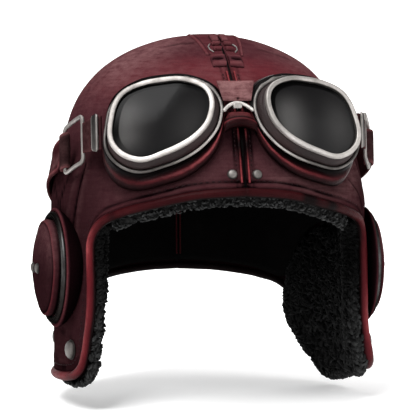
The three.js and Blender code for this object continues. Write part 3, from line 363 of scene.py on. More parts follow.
def capped(sections, steps=4):
    """Adds rounded ends to a tube: shrinking copies of the end sections, pushed out along a quarter circle."""
    first, last = sections[0], sections[-1]
    middle_0, middle_1 = first.mean(0), last.mean(0)
    out_0 = unit(middle_0 - sections[1].mean(0))
    out_1 = unit(middle_1 - sections[-2].mean(0))
    reach_0 = np.linalg.norm(first - middle_0, axis=1).mean()
    reach_1 = np.linalg.norm(last - middle_1, axis=1).mean()
    angle = np.linspace(np.pi / 2, 0, steps, endpoint=False)
    shrink, push = np.cos(angle)[:, None, None], np.sin(angle)[:, None, None]
    head = middle_0 + (first - middle_0)[None] * shrink + out_0 * push * reach_0
    tail = middle_1 + (last - middle_1)[None] * shrink[::-1] + out_1 * push[::-1] * reach_1
    return np.concatenate([head, sections, tail])


def lathe(profile, point, direction, sides=48, turn_hint=(0, 0, 1)):
    """Sections of a turned body: each profile radius carried round the axis, each height along it."""
    profile = np.asarray(profile, float)
    direction = unit(np.asarray(direction, float))
    first = unit(np.cross(np.asarray(turn_hint, float), direction))
    second = np.cross(direction, first)
    angle = np.linspace(0, 2 * np.pi, sides, endpoint=False)[:, None, None]
    ring = first * np.cos(angle) + second * np.sin(angle)
    return point + ring * profile[None, :, :1] + direction * profile[None, :, 1:]


def rounded(profile, steps=4, reach=0.35):
    """Rounds the corners of a profile: each inner corner becomes a short curve between its neighbours."""
    profile = np.asarray(profile, float)
    out = [profile[:1]]
    amount = np.linspace(0, 1, steps)[:, None]
    for before, here, after in zip(profile[:-2], profile[1:-1], profile[2:]):
        start, end = share(here, before, reach), share(here, after, reach)
        out.append((1 - amount) ** 2 * start + 2 * amount * (1 - amount) * here + amount ** 2 * end)
    out.append(profile[-1:])
    return np.concatenate(out)


def rounded_loop(profile, steps=4, reach=0.35):
    """The same for a closed profile, so that every corner is rounded."""
    profile = np.asarray(profile, float)
    wide = np.concatenate([profile[-1:], profile, profile[:1]])
    return rounded(wide, steps, reach)[1:-1]


def resampled(path, spacing):
    """Points at even distances along a path, with the path's own columns carried along."""
    length = np.concatenate([[0], np.cumsum(np.linalg.norm(np.diff(path[:, :3], axis=0), axis=1))])
    count = max(int(round(length[-1] / spacing)), 2)
    at = np.linspace(0, length[-1], count + 1)
    return np.stack([np.interp(at, length, path[:, k]) for k in range(path.shape[1])], 1)


def stitches(path, normals, pitch=3.2, length=2.1, thick=0.42, raise_by=0.2):
    """Separate stitches along a line: each a short lens of six sides, thickest in its middle and sunk at its ends."""
    line = resampled(np.concatenate([path, normals], 1), pitch)
    middle = (line[1:, :3] + line[:-1, :3]) / 2
    ahead = unit(line[1:, :3] - line[:-1, :3])
    up = unit((line[1:, 3:] + line[:-1, 3:]) / 2)
    aside = np.cross(ahead, up)
    t = np.linspace(-1, 1, 6)
    size = thick * np.sqrt(np.maximum(1 - (t * 0.98) ** 2, 0.02))
    angle = np.linspace(0, 2 * np.pi, 6, endpoint=False)
    centre = middle[:, None] + ahead[:, None] * (t * length / 2)[None, :, None]
    centre = centre + up[:, None] * (raise_by - 0.35 * t * t)[None, :, None]
    ring = aside[:, None, None] * np.cos(angle)[:, None] + up[:, None, None] * np.sin(angle)[:, None]
    sections = centre[:, :, None] + ring * size[None, :, None, None]
    return [patch(one, wear_and_highlight=0.3) for one in sections]


# Materials

def added(tree, kind, settings=None, **inputs):
    """A node with its settings, and each named input given a value or a link."""
    item = tree.nodes.new(kind)
    for key, value in (settings or {}).items():
        setattr(item, key, value)
    for key, value in inputs.items():
        socket = item.inputs[int(key[1:])] if key[0] == "i" and key[1:].isdigit() else item.inputs[key.replace("_", " ")]
        if isinstance(value, bpy.types.NodeSocket):
            tree.links.new(value, socket)
        else:
            socket.default_value = value
    return item


def blended(tree, amount, first, second, way="MIX"):
    item = added(tree, "ShaderNodeMix", {"data_type": "RGBA", "blend_type": way}, i0=amount, i6=first,
        i7=second)
    return item.outputs[2]


def ranged(tree, value, low, high, to_low=0.0, to_high=1.0):
    item = added(tree, "ShaderNodeMapRange", {}, i0=value, i1=low, i2=high, i3=to_low, i4=to_high)
    return item.outputs[0]


def times(tree, first, second, way="MULTIPLY"):
    return added(tree, "ShaderNodeMath", {"operation": way}, i0=first, i1=second).outputs[0]


def read(tree, word, output="Fac"):
    return added(tree, "ShaderNodeAttribute", {"attribute_name": word}).outputs[output]


def noise(tree, vector, scale, detail=4.0, rough=0.55):
    return added(tree, "ShaderNodeTexNoise", {}, Vector=vector, Scale=scale, Detail=detail,
        Roughness=rough).outputs[0]


def started(name):
    """A new material with its shader, and the place of a point on the piece."""
    material = bpy.data.materials.new(name)
    material.use_nodes = True
    tree = material.node_tree
    tree.nodes.clear()
    shader = tree.nodes.new("ShaderNodeBsdfPrincipled")
    out = tree.nodes.new("ShaderNodeOutputMaterial")
    tree.links.new(shader.outputs[0], out.inputs[0])
    place = tree.nodes.new("ShaderNodeTexCoord").outputs["Object"]
    return material, tree, shader, place


def raised(tree, shader, height, strength, distance):
    """Bumps the shader's surface by a height pattern."""
    item = added(tree, "ShaderNodeBump", {}, Strength=strength, Distance=distance, Height=height)
    tree.links.new(item.outputs[0], shader.inputs["Normal"])


def worn_leather(name, dark, plain, red, rubbed_and_highlight, rough=(0.42, 0.66), grain=1.0, streaks=0.5, mottle=0.5,
    gloss=0.5):
    """Dyed leather: mottled dark to plain, redder where the piece says, paler where the piece marks worn spots and
    painted highlights, darkened by painted shade in its folds and hollows, pored.
    """
    material, tree, shader, place = started(name)
    flow = read(tree, "flow", "Vector")
    broad = ranged(tree, noise(tree, place, 26, 3), 0.34, 0.66)
    colour = blended(tree, times(tree, broad, mottle), plain, dark)
    streak_place = added(tree, "ShaderNodeMapping", {}, Vector=flow, Scale=(1, 7, 7)).outputs[0]
    streak = ranged(tree, noise(tree, streak_place, 60, 5, 0.7), 0.35, 0.7)
    redness = times(tree, read(tree, "red"), ranged(tree, streak, 0, 1, 0.55, 1.0))
    colour = blended(tree, redness, colour, red)
    scuff = ranged(tree, noise(tree, place, 190, 6, 0.75), 0.3, 0.72)
    patchy = ranged(tree, noise(tree, place, 48, 5, 0.7), 0.35, 0.65)
    # Worn spots and painted highlights: the piece's marks, broken by streaks and scuffs, pale the leather towards its
    # worn and highlight colour.
    rub_and_highlight = times(tree, read(tree, "wear_and_highlight"), ranged(tree, times(tree, streak, scuff, "ADD"), 0.35, 1.5, 0.3,
        1.05))
    colour = blended(tree, rub_and_highlight, colour, rubbed_and_highlight)
    fine = times(tree, times(tree, scuff, patchy), 0.16 * streaks)
    colour = blended(tree, fine, colour, rubbed_and_highlight)
    # Painted shade: the piece's shade darkens the leather towards a deep copy of its dark colour.
    colour = blended(tree, read(tree, "shade"), colour, tuple(0.12 * c for c in dark[:3]) + (1,))
    tree.links.new(colour, shader.inputs["Base Color"])
    pores = added(tree, "ShaderNodeTexVoronoi", {"feature": "F1"}, Vector=place,
        Scale=900 / grain).outputs["Distance"]
    wrinkle = noise(tree, place, 330 / grain, 8, 0.7)
    height = times(tree, times(tree, pores, 0.55), wrinkle, "ADD")
    height = times(tree, height, times(tree, streak, 0.15), "ADD")
    raised(tree, shader, height, 0.42, 0.0007 * grain)
    tree.links.new(ranged(tree, scuff, 0, 1, rough[0], rough[1]), shader.inputs["Roughness"])
    shader.inputs["Specular IOR Level"].default_value = gloss
    return material


def brushed_metal(name, bright, dull_and_shade, rough=(0.24, 0.5), scratch=1.0, edge=1.0):
    """Worn metal: bright with duller clouds and fine scratches, paler where the piece marks worn spots and painted
    highlights, darkened by painted shade where the piece says.
    """
    material, tree, shader, place = started(name)
    cloud = ranged(tree, noise(tree, place, 75, 5, 0.65), 0.33, 0.68)
    colour = blended(tree, cloud, bright, dull_and_shade)
    speck = ranged(tree, noise(tree, place, 420, 4, 0.7), 0.55, 0.75)
    colour = blended(tree, times(tree, speck, 0.45), colour, tuple(0.35 * c for c in dull_and_shade[:3]) + (1,))
    # Worn spots and painted highlights pale the metal; painted shade darkens it.
    colour = blended(tree, times(tree, read(tree, "wear_and_highlight"), 0.6), colour, (0.8, 0.765, 0.735, 1))
    colour = blended(tree, read(tree, "shade"), colour, (0.02, 0.017, 0.016, 1))
    tree.links.new(colour, shader.inputs["Base Color"])
    shader.inputs["Metallic"].default_value = 1.0
    shader.inputs["Specular Tint"].default_value = (edge, edge, edge, 1)
    tree.links.new(ranged(tree, cloud, 0, 1, rough[0], rough[1]), shader.inputs["Roughness"])
    stretched = added(tree, "ShaderNodeMapping", {}, Vector=place, Scale=(1, 1, 9)).outputs[0]
    raised(tree, shader, noise(tree, stretched, 500, 5, 0.7), 0.16 * scratch, 0.0003)
    return material


def black_cloth(name):
    """Plain weave: two crossed waves a thread apart, with a soft nap over them."""
    material, tree, shader, place = started(name)
    flow = read(tree, "flow", "Vector")
    cloud = ranged(tree, noise(tree, place, 30, 4), 0.3, 0.7)
    colour = blended(tree, cloud, (0.0012, 0.0012, 0.0012, 1), (0.0026, 0.0024, 0.0024, 1))
    colour = blended(tree, read(tree, "red"), colour, (0.05, 0.008, 0.01, 1))
    tree.links.new(colour, shader.inputs["Base Color"])
    warp = added(tree, "ShaderNodeTexWave", {"bands_direction": "X"}, Vector=flow, Scale=300.0).outputs[1]
    weft = added(tree, "ShaderNodeTexWave", {"bands_direction": "Y"}, Vector=flow, Scale=300.0).outputs[1]
    raised(tree, shader, times(tree, times(tree, warp, weft), noise(tree, place, 700, 4), "ADD"), 0.3, 0.0003)
    shader.inputs["Roughness"].default_value = 0.95
    shader.inputs["Specular IOR Level"].default_value = 0.03
    return material


def curly_fleece(name):
    """Sheared wool: charcoal, blackened by painted shade in its roots and hollows, with paler tips that are partly
    painted light, and fine strands.
    """
    material, tree, shader, place = started(name)
    cloud = ranged(tree, noise(tree, place, 120, 5, 0.7), 0.3, 0.7)
    colour = blended(tree, cloud, (0.0018, 0.0018, 0.0018, 1), (0.0042, 0.0042, 0.0042, 1))
    # Paler tips, partly painted light, and painted shade in the roots and hollows.
    colour = blended(tree, read(tree, "wear_and_highlight"), colour, (0.11, 0.112, 0.112, 1))
    colour = blended(tree, read(tree, "shade"), colour, (0.0005, 0.0005, 0.0005, 1))
    tree.links.new(colour, shader.inputs["Base Color"])
    strands = noise(tree, place, 900, 6, 0.8)
    raised(tree, shader, strands, 0.6, 0.0006)
    shader.inputs["Roughness"].default_value = 0.8
    shader.inputs["Specular IOR Level"].default_value = 0.1
    return material


def smoked_glass(name):
    """Dark glass with a painted reflection: a pale sheen where the piece marks it, broken by faint smears, and darker
    where the piece's painted shade says.
    """
    material, tree, shader, place = started(name)
    smear = ranged(tree, noise(tree, place, 60, 5, 0.7), 0.3, 0.7, 0.82, 1.0)
    # Painted reflection: a pale sheen where the piece marks it; painted shade darkens the glass where the piece says.
    colour = blended(tree, times(tree, read(tree, "wear_and_highlight"), smear), (0.0085, 0.0083, 0.0086, 1),
        (0.095, 0.092, 0.09, 1))
    colour = blended(tree, read(tree, "shade"), colour, (0.002, 0.002, 0.002, 1))
    tree.links.new(colour, shader.inputs["Base Color"])
    tree.links.new(ranged(tree, smear, 0.82, 1, 0.1, 0.16), shader.inputs["Roughness"])
    shader.inputs["Specular IOR Level"].default_value = 0.03
    raised(tree, shader, noise(tree, place, 25, 3), 0.05, 0.001)
    return material


LEATHER = worn_leather(
    "crown_leather", (0.015, 0.0055, 0.0075, 1), (0.036, 0.0105, 0.0142, 1), (0.1, 0.0095, 0.0145,
        1), (0.135, 0.062, 0.065, 1),
    gloss=0.0)
PIPING = worn_leather(
    "piping_leather", (0.022, 0.0035, 0.005, 1), (0.045, 0.005, 0.0075, 1), (0.12, 0.008, 0.0125, 1), (0.4,
        0.085, 0.09, 1),
    rough=(0.36, 0.58), grain=0.8, streaks=0.4, gloss=0.04)
PADDING = worn_leather(
    "eyecup_leather", (0.003, 0.0015, 0.0018, 1), (0.006, 0.002, 0.0026, 1), (0.045, 0.0042, 0.0065,
        1), (0.22, 0.045, 0.05, 1),
    rough=(0.34, 0.5), grain=0.8, gloss=0.04)
FRAME_LEATHER = worn_leather(
    "frame_leather", (0.007, 0.005, 0.005, 1), (0.013, 0.008, 0.008, 1), (0.04, 0.009, 0.01, 1), (0.09,
        0.065, 0.063, 1),
    rough=(0.42, 0.62), grain=0.8, gloss=0.25)
STRAP_LEATHER = worn_leather(
    "strap_leather", (0.013, 0.005, 0.006, 1), (0.032, 0.01, 0.012, 1), (0.11, 0.015, 0.022, 1), (0.2, 0.1,
        0.1, 1),
    rough=(0.55, 0.75), grain=1.3, streaks=1.6, mottle=0.9, gloss=0.0)
STEEL = brushed_metal("pale_steel", (0.56, 0.525, 0.5, 1), (0.27, 0.25, 0.235, 1), rough=(0.5, 0.7))
DARK_STEEL = brushed_metal("dark_steel", (0.27, 0.28, 0.28, 1), (0.06, 0.058, 0.058, 1), rough=(0.35, 0.6),
    scratch=2.0, edge=0.15)
CLOTH = black_cloth("lining_cloth")
FLEECE = curly_fleece("shearling")
GLASS = smoked_glass("smoked_lens")


# Goggle outline

LENS_HALF_WIDTH, LENS_SPACING, LENS_RISE, LENS_YAW, LENS_TILT = 32.5, 94, 45.4, 15, 17
LENS_REACH = float(crown_section(CROWN_HEIGHT - LENS_RISE)[1]) + 7.05
GOGGLES_ASIDE, GOGGLES_LEAN, STRAP_ASIDE = -2, 1.2, -0.4
RIM_WIDTH, RIM_DEPTH, GLASS_WALL, GLASS_BULGE, FRAME_DEPTH, FRAME_FLARE = 3.3, 3.2, 1.2, 1.8, 6.2, 3.4
BEAD_RADIUS, TEMPLE_TUCK, EYECUP_FLARE, EYECUP_WALL, EYECUP_PUFF = 1.2, 2.4, 14, 7, 2.2
FRAME_TOP = -(RIM_DEPTH + CLEARANCE)
FRAME_BOTTOM = FRAME_TOP - FRAME_DEPTH
LENS = np.array([
    (0, 0.975, 0.5, 1), (30, 0.93, 0.54, 0.5), (60, 0.81, 0.57, 0), (90, 0.78, 0.6, 0), (120, 0.895, 0.57, 0),
    (150, 1.035, 0.5, 0), (180, 0.925, 0.45, 0), (210, 0.765, 0.84, 0), (240, 0.69, 1.03, 0), (270, 0.74,
        1.03, 0),
    (300, 0.957, 0.93, 0), (330, 1.065, 0.64, 0.5),
])
LENS_ROUND = np.concatenate([LENS[-3:] - [360, 0, 0, 0], LENS, LENS[:3] + [360, 0, 0, 0]])
LENS_STEPS = 168


def settled(points, aside=GOGGLES_ASIDE):
    """Leans points about the lens level and moves them aside."""
    lean = math.radians(GOGGLES_LEAN)
    level = BRIM_LEVEL + LENS_RISE
    x, z = points[..., 0], points[..., 2] - level
    out = points.astype(float).copy()
    out[..., 0] = x * math.cos(lean) - z * math.sin(lean) + aside
    out[..., 2] = x * math.sin(lean) + z * math.cos(lean) + level
    return out


def lens_frame(side):
    """Middle of a lens with its outward, across and up directions, from its yaw and tilt."""
    yaw, tilt = math.radians(LENS_YAW), math.radians(LENS_TILT)
    outward = np.array([side * math.sin(yaw) * math.cos(tilt), -math.cos(yaw) * math.cos(tilt),
        math.sin(tilt)])
    across = np.array([side * math.cos(yaw), math.sin(yaw), 0])
    up = np.cross(outward, across) * side
    return np.array([side * LENS_SPACING / 2, -LENS_REACH, BRIM_LEVEL + LENS_RISE]), outward, across, up


def lens_outward(side):
    """The outward direction after the goggles' lean."""
    lean = math.radians(GOGGLES_LEAN)
    x, y, z = lens_frame(side)[1]
    return np.array([x * math.cos(lean) - z * math.sin(lean), y, x * math.sin(lean) + z * math.cos(lean)])


def lens_point(side, angle, grow, off):
    """Point of the goggles: the lens outline's reach at the angle plus a growth, raised off the rim."""
    middle, outward, across, up = lens_frame(side)
    angle, grow, off = np.broadcast_arrays(np.asarray(angle, float), np.asarray(grow, float),
        np.asarray(off, float))
    tuck = np.where(grow > 0, TEMPLE_TUCK * along(LENS_ROUND[:, 0], LENS_ROUND[:, 3], angle), 0)
    radius = (LENS_HALF_WIDTH * along(LENS_ROUND[:, 0], LENS_ROUND[:, 1], angle) + grow - tuck)[..., None]
    turn = np.radians(angle)[..., None]
    return settled(middle + across * radius * np.cos(turn) + up * radius * np.sin(turn) + outward * off[...,
        None])


# Leather panels

# Creases: side (0 is both), depth, width, then turns and drops along the fold
CREASES = [
    (-1, -1.1, 1.5, ((62, 86), (64, 104), (67, 124), (69, 150))),
    (-1, 0.9, 2.6, ((59.5, 88), (61, 104), (63.5, 122), (65, 140))),
    (-1, 0.8, 2.6, ((66, 92), (68.5, 108), (71, 122))),
    (-1, -0.9, 1.4, ((71, 82), (74, 98), (78, 110))),
    (-1, -0.7, 1.2, ((90, 98), (84, 104), (79, 112), (74, 124))),
    (1, -0.9, 1.5, ((62, 82), (66, 96), (71, 112), (73, 126))),
    (1, 0.8, 2.4, ((58, 84), (62, 98), (66, 112))),
    (1, -0.6, 1.2, ((48, 96), (56, 104), (62, 116))),
    (0, -0.7, 1.3, ((120, 78), (126, 96), (131, 118))),
    (0, -0.5, 1.6, ((100, 70), (108, 88), (112, 100))),
    (-1, -0.7, 1.0, ((21, 8.5), (31, 8.9), (40, 10.4))),
    (1, -0.45, 1.2, ((28, 12), (38, 14), (47, 18))),
    (0, -0.3, 1.8, ((70, 196), (86, 190), (104, 193))),
    (0, -0.25, 1.8, ((76, 214), (95, 209), (112, 212))),
]


def folded(side, turn, drop):
    """Depth of the creases, with painted shade along the sunken ones: a bell of the distance to each fold line,
    measured on the leather in millimetres.
    """
    relief, shade = np.zeros(turn.shape), np.zeros(turn.shape)
    scale = np.pi / 180 * HALF_WIDTH * np.sqrt(np.minimum(drop / CROWN_HEIGHT, 1) + 1e-6)
    for way, depth, width, line in CREASES:
        if way not in (0, side):
            continue
        nearest = np.full(turn.shape, 1e9)
        line = np.array(line, float)
        for (turn_0, drop_0), (turn_1, drop_1) in zip(line[:-1], line[1:]):
            ax, ay = (turn - turn_0) * scale, drop - drop_0
            bx, by = (turn_1 - turn_0) * scale, drop_1 - drop_0
            t = np.clip((ax * bx + ay * by) / (bx * bx + by * by + 1e-9), 0, 1)
            fade = 1 + 0.6 * np.abs(2 * t - 1)
            nearest = np.minimum(nearest, np.hypot(ax - t * bx, ay - t * by) * fade)
        relief += depth * bump(nearest, 0, width)
        # Painted shade along each sunken crease.
        if depth < 0:
            shade -= 0.85 * max(depth, -0.9) * bump(nearest, 0, 0.8 * width)
    return relief, shade


def under_goggles(points):
    """Painted shadow on the leather round each eyecup's foot: a bell of the distance to its outline."""
    shade = np.zeros(points.shape[:-1])
    angle = np.arange(0, 360, 4.0)
    for way in (-1, 1):
        skirt = EYECUP_FLARE * along(LENS_ROUND[:, 0], LENS_ROUND[:, 2], angle)
        line = seat(lens_point(way, angle, skirt, FRAME_BOTTOM - CLEARANCE), lens_outward(way), SEAM_HALF_GAP)
        near = np.full(points.shape[:-1], 1e9)
        for spot in line:
            near = np.minimum(near, np.linalg.norm(points - spot, axis=-1))
        shade = np.maximum(shade, bump(near, 0, 5.5))
    return shade


def leather_panel(side, word):
    """One half of the shell: lines from the crest to the edge, raised by its groove, creases and soft dents."""
    columns, rows = 300, 104
    u = np.linspace(0, 1, columns + 1)[:, None]
    v = np.linspace(0, 1, rows + 1)[None]
    edge_turn, edge_drop = inset_edge(side, u[:, 0], 1.2)
    turn, drop = shell_line(180 * u, edge_turn[:, None], edge_drop[:, None], v)
    flat = leather_point(side * turn, drop)
    normal = leather_normal(side * turn, drop)
    step = np.linalg.norm(np.diff(flat, axis=1), axis=-1)
    from_edge = np.concatenate([np.cumsum(step[:, ::-1], 1)[:, ::-1], np.zeros((columns + 1, 1))], 1) + 1.2
    wander = 0.5 * lumps(flat, 17, 3)
    groove = bump(from_edge, 6.6 + wander, 0.95)
    broken = 0.55 + 0.45 * smooth(-0.5, 0.4, lumps(flat, 9, 5))
    relief = -0.6 * groove * broken + 0.4 * bump(from_edge, 3.9, 1.5) + 0.3 * bump(from_edge, 9.6, 2.2)
    creases, crease_shade = folded(side, turn, drop)
    crest = smooth(4, 30, drop)
    relief = relief + creases + crest * (0.45 * lumps(flat, 34, 7) + 0.16 * lumps(flat, 12, 8)) - 0.1
    if side < 0:
        relief = relief + 1.5 * bump(turn, 92, 42) * bump(drop, 34, 22)
    seam = np.abs(flat[..., 0])
    near_seam = bump(seam, 0, 2.4) * smooth(10, 30, drop)
    relief = relief - 0.35 * bump(seam, 4.6, 0.7) * smooth(10, 26, drop)
    outer = flat + normal * relief[..., None]
    inner = flat - normal * (LEATHER_WALL + np.maximum(-relief, 0) * 0.5)[..., None]
    brow = bump(drop, 34, 17) * bump(turn, 0, 62) * smooth(12, 24, drop)
    upper = smooth(60, 10, drop)
    # Rubbing and painted light: a little everywhere, a painted light on the upper crown that grows towards the sides
    # and is stronger on the left, pale streaks beside the groove and on raised folds, pale random patches, and a pale
    # patch on the brow.
    rub_and_highlight = 0.16 + 0.62 * upper * smooth(18, 60, turn) * (1.2 if side < 0 else 1.0)
    rub_and_highlight = rub_and_highlight + 0.3 * bump(from_edge, 9.5, 2.5) * smooth(-0.2, 0.6,
        lumps(flat, 22, 11)) + 0.4 * np.maximum(creases, 0)
    rub_and_highlight = rub_and_highlight + 0.25 * smooth(0.1, 0.8, lumps(flat, 30, 12)) + 0.2 * bump(drop, 96, 22) * bump(turn, 20, 26)
    low = smooth(CROWN_HEIGHT - 34, CROWN_HEIGHT + 12, drop)
    if side > 0:
        # Painted highlight on the right of the brow.
        rub_and_highlight = rub_and_highlight + 1.3 * bump(turn, 40, 18) * bump(drop, 93, 12)
    # Painted shade: in the groove, the sunken creases, lower down the crown, beside the seam welts, low at the front,
    # round the eyecups' feet, under the nose pad, beside the piping, along the seam and on the lower sides.
    shade = 0.75 * groove * broken + crease_shade + 0.12 * low + 0.5 * bump(seam, 4.6, 0.7) * smooth(10, 26,
        drop)
    shade = shade + 0.2 * smooth(30, 75, drop) * smooth(75, 20,
        turn) + 0.36 * under_goggles(flat) * smooth(30, 44, drop)
    shade = shade + 0.7 * bump(np.abs(flat[..., 0] + 1), 0, 9) * bump(drop, 74, 8) * (turn < 90)
    shade = shade + 0.45 * bump(from_edge, 2.6, 1.2) + 0.55 * near_seam + 0.45 * smooth(58, 98,
        drop) * smooth(44, 62, turn)
    red = 0.85 * brow + 0.2 * bump(from_edge, 4.0, 1.8) + 0.1 * upper + 0.08
    # The shell's inner face is darkened with painted shade.
    both = lambda value, under: np.clip(np.concatenate([value, np.full(value.shape, under)], 1), 0, 1)
    sections = np.concatenate([outer, inner[:, ::-1]], 1)
    sections[..., 0] += side * SEAM_HALF_GAP
    flow = np.stack([turn * 1.8, drop, 0 * turn], -1)
    flow = np.concatenate([flow, flow[:, ::-1]], 1)
    shell = patch(sections, wear_and_highlight=both(rub_and_highlight, 0), shade=both(shade, 0.9), red=both(red, 0), flow=flow)
    made(f"leather_shell_{word}", [shell], LEATHER, [f"leather_panel_{word}"])
    line_turn, line_drop = inset_edge(side, np.linspace(0.004, 0.996, 500), 6.9)
    path = crown_point(side * line_turn, line_drop, np.full(500, -0.35))
    path[:, 0] += side * SEAM_HALF_GAP
    return stitches(path, leather_normal(side * line_turn, line_drop), pitch=3.6, length=2.3, thick=0.36)


def edge_piping(side, word):
    """Rolled leather cord on the edge: a circle that swells and pinches a little along its way."""
    count = 620
    turn, drop = edge_point(side, np.linspace(0, 1, count))
    path = crown_point(side * turn, drop, np.full(count, -LEATHER_WALL / 2))
    path[:, 0] += side * SEAM_HALF_GAP
    hint = leather_normal(side * turn, drop)
    swell = 1 + 0.03 * lumps(path, 9, 21) + 0.02 * lumps(path, 3.2, 22)
    if side > 0:
        swell = swell + 0.35 * bump(turn, 70, 6) * smooth(CROWN_HEIGHT + 90, CROWN_HEIGHT + 104, drop)
    sections = tube(path, PIPING_RADIUS * swell, hint, 18)
    angle = np.linspace(0, 2 * np.pi, 18, endpoint=False)
    outside = np.maximum(np.sin(angle), 0)[None]
    middle = path[:, None] * np.ones((1, 18, 1))
    patchy = smooth(-0.5, 0.5, lumps(middle, 26, 23))
    lit = smooth(CROWN_HEIGHT + 4, CROWN_HEIGHT + 40, drop)[:, None]
    bottom = smooth(CROWN_HEIGHT + 104, CROWN_HEIGHT + 117, drop)[:, None]
    # Painted highlight along the cord's top, narrow on the left and broad on the right, weaker at the brow and at the
    # bottom of the flaps, broken into random patches.
    broad = 0.5 if side < 0 else 1.1
    wear_and_highlight = (0.15 + 0.85 * patchy ** 1.5) * (bump(angle, 0.5 * np.pi,
        broad)[None] * (0.35 + 0.65 * lit)) * (1 - 0.7 * bottom)
    front = np.linspace(0, 1, count)[:, None]
    red = 0.2 + 0.5 * outside + 0.25 * patchy
    # Painted shade on the cord's inner and lower side, less of it down the right side, with random darker patches,
    # and darker at the brow.
    open_side = 0.0 if side < 0 else 0.45 * lit
    shade = 0.95 * smooth(0.62 - open_side, -0.2 - open_side, np.sin(angle)[None] + 0 * lit)
    shade = shade + 0.4 * smooth(0.1, 0.8, lumps(middle, 14, 24)) + 0.1 + 0.7 * (1 - lit)
    ends = capped(sections)
    extra = (len(ends) - len(sections)) // 2
    spread = lambda value: np.clip(np.pad(np.broadcast_to(value, (count, 18)), ((extra, extra), (0, 0)),
        mode="edge"), 0, 1)
    flow = np.stack([front * 700 + 0 * angle, 0 * front + angle * 3, 0 * front + 0 * angle], -1)
    flow = np.pad(flow, ((extra, extra), (0, 0), (0, 0)), mode="edge")
    roll = patch(ends, wear_and_highlight=spread(wear_and_highlight), shade=spread(shade), red=spread(red), flow=flow)
    made(f"rolled_piping_{word}", [roll], PIPING, [f"edge_piping_{word}"])


def seam_welt(side, start, end, back):
    """Raised welt beside the centre seam, a small tube over the crown at a fixed distance from the middle."""
    count = 240
    drop = share(start, end, np.linspace(0, 1, count))
    spread = np.degrees(np.arcsin(WELT_SPACING / crown_section(drop)[0]))
    turn = side * (180 - spread if back else spread)
    path = crown_point(turn, drop, np.full(count, WELT_RADIUS - 0.25))
    normal = leather_normal(turn, drop)
    sections = capped(tube(path, WELT_RADIUS * (1.0 + 0.08 * lumps(path, 4, 31)), normal, 12))
    angle = np.linspace(0, 2 * np.pi, 12, endpoint=False)
    # Painted highlight along the welt's top; painted shade on its flanks and where it passes below the nose pad.
    wear_and_highlight = 0.55 * np.clip(np.sin(angle), 0, 1)[None] ** 4 * np.ones((len(sections), 1))
    level = CROWN_TOP - sections[..., 2]
    shadowed = 0.85 * bump(level, 76, 9) * (sections[..., 1] < 0)
    welt = patch(sections, wear_and_highlight=wear_and_highlight * (1 - shadowed), red=0.75,
                 shade=np.clip(0.9 * smooth(0.85, 0.15, np.sin(angle))[None] + 0.15 + shadowed, 0, 1))
    line = np.degrees(np.arcsin(4.7 / crown_section(drop)[0]))
    turn = side * (180 - line if back else line)
    thread = stitches(crown_point(turn, drop, np.full(count, -0.3)), normal, pitch=3.0, length=1.9,
        thick=0.32)
    return welt, thread


def seam_channel(start, end, back):
    """Near-black strip under the centre seam's gap, beneath both halves' edges, painted dark for the shade down in
    the gap.
    """
    count = 200
    drop = share(start, end, np.linspace(0, 1, count))[:, None]
    x = np.array([[-2.2, -1.1, 0, 1.1, 2.2]])
    turn = np.degrees(np.arcsin(np.clip(x / np.maximum(crown_section(drop)[0], 3), -1, 1)))
    turn = 180 - turn if back else turn
    top, foot = crown_point(turn, drop, -1.3 + 0 * turn), crown_point(turn, drop, -1.9 + 0 * turn)
    # Painted shade makes the strip nearly black.
    return patch(np.concatenate([top, foot[:, ::-1]], 1), shade=0.97)


threads = {}
channel = [seam_channel(0.6, CROWN_HEIGHT + 1.2, False),
    seam_channel(0.6, CROWN_HEIGHT + 0.455 * FLAP_FALL, True)]
for word, side in SIDES.items():
    threads[word] = leather_panel(side, word)
    edge_piping(side, word)
    front_welt, front_thread = seam_welt(side, CROWN_HEIGHT - 2 * PIPING_RADIUS, 0.29 * CROWN_HEIGHT, False)
    back_welt, back_thread = seam_welt(side, CROWN_HEIGHT + 0.41 * FLAP_FALL, 0.065 * CROWN_HEIGHT, True)
    made(f"front_seam_welt_{word}", [front_welt], PIPING, [f"front_welt_{word}"])
    made(f"back_seam_welt_{word}", [back_welt], PIPING, [f"back_welt_{word}"])
    threads[word] += front_thread + back_thread


# Lining

def crown_lining():
    """Cloth cap inside the leather: the shell's lines at the lining's depth, with soft quilted dents."""
    columns, rows = 240, 70
    turn_0 = np.linspace(-180, 180, columns, endpoint=False)[:, None]
    v = np.linspace(0, 1, rows + 1)[None]
    fall = along(LINING_EDGE[:, 0], LINING_EDGE[:, 1], np.abs(turn_0))
    turn, drop = shell_line(turn_0, turn_0, CROWN_HEIGHT + FLAP_FALL * fall, v)
    flat, normal = leather_point(turn, drop), leather_normal(turn, drop)
    outer_off = -(LEATHER_WALL + SHELL_PLAY)
    outer = flat + normal * outer_off
    dents = 0.5 * lumps(flat, 30, 41) + 0.2 * lumps(flat, 11, 42)
    inner = flat + normal * (outer_off - LINING_WALL + 0.3 + 0.3 * dents)[..., None]
    sections = np.concatenate([outer, inner[:, ::-1]], 1)
    flow = np.stack([turn * 1.8, drop, 0 * turn], -1)
    made("lining_cap", [patch(sections, around=True, loop=False,
        flow=np.concatenate([flow, flow[:, ::-1]], 1))],
         CLOTH, ["crown_lining"])


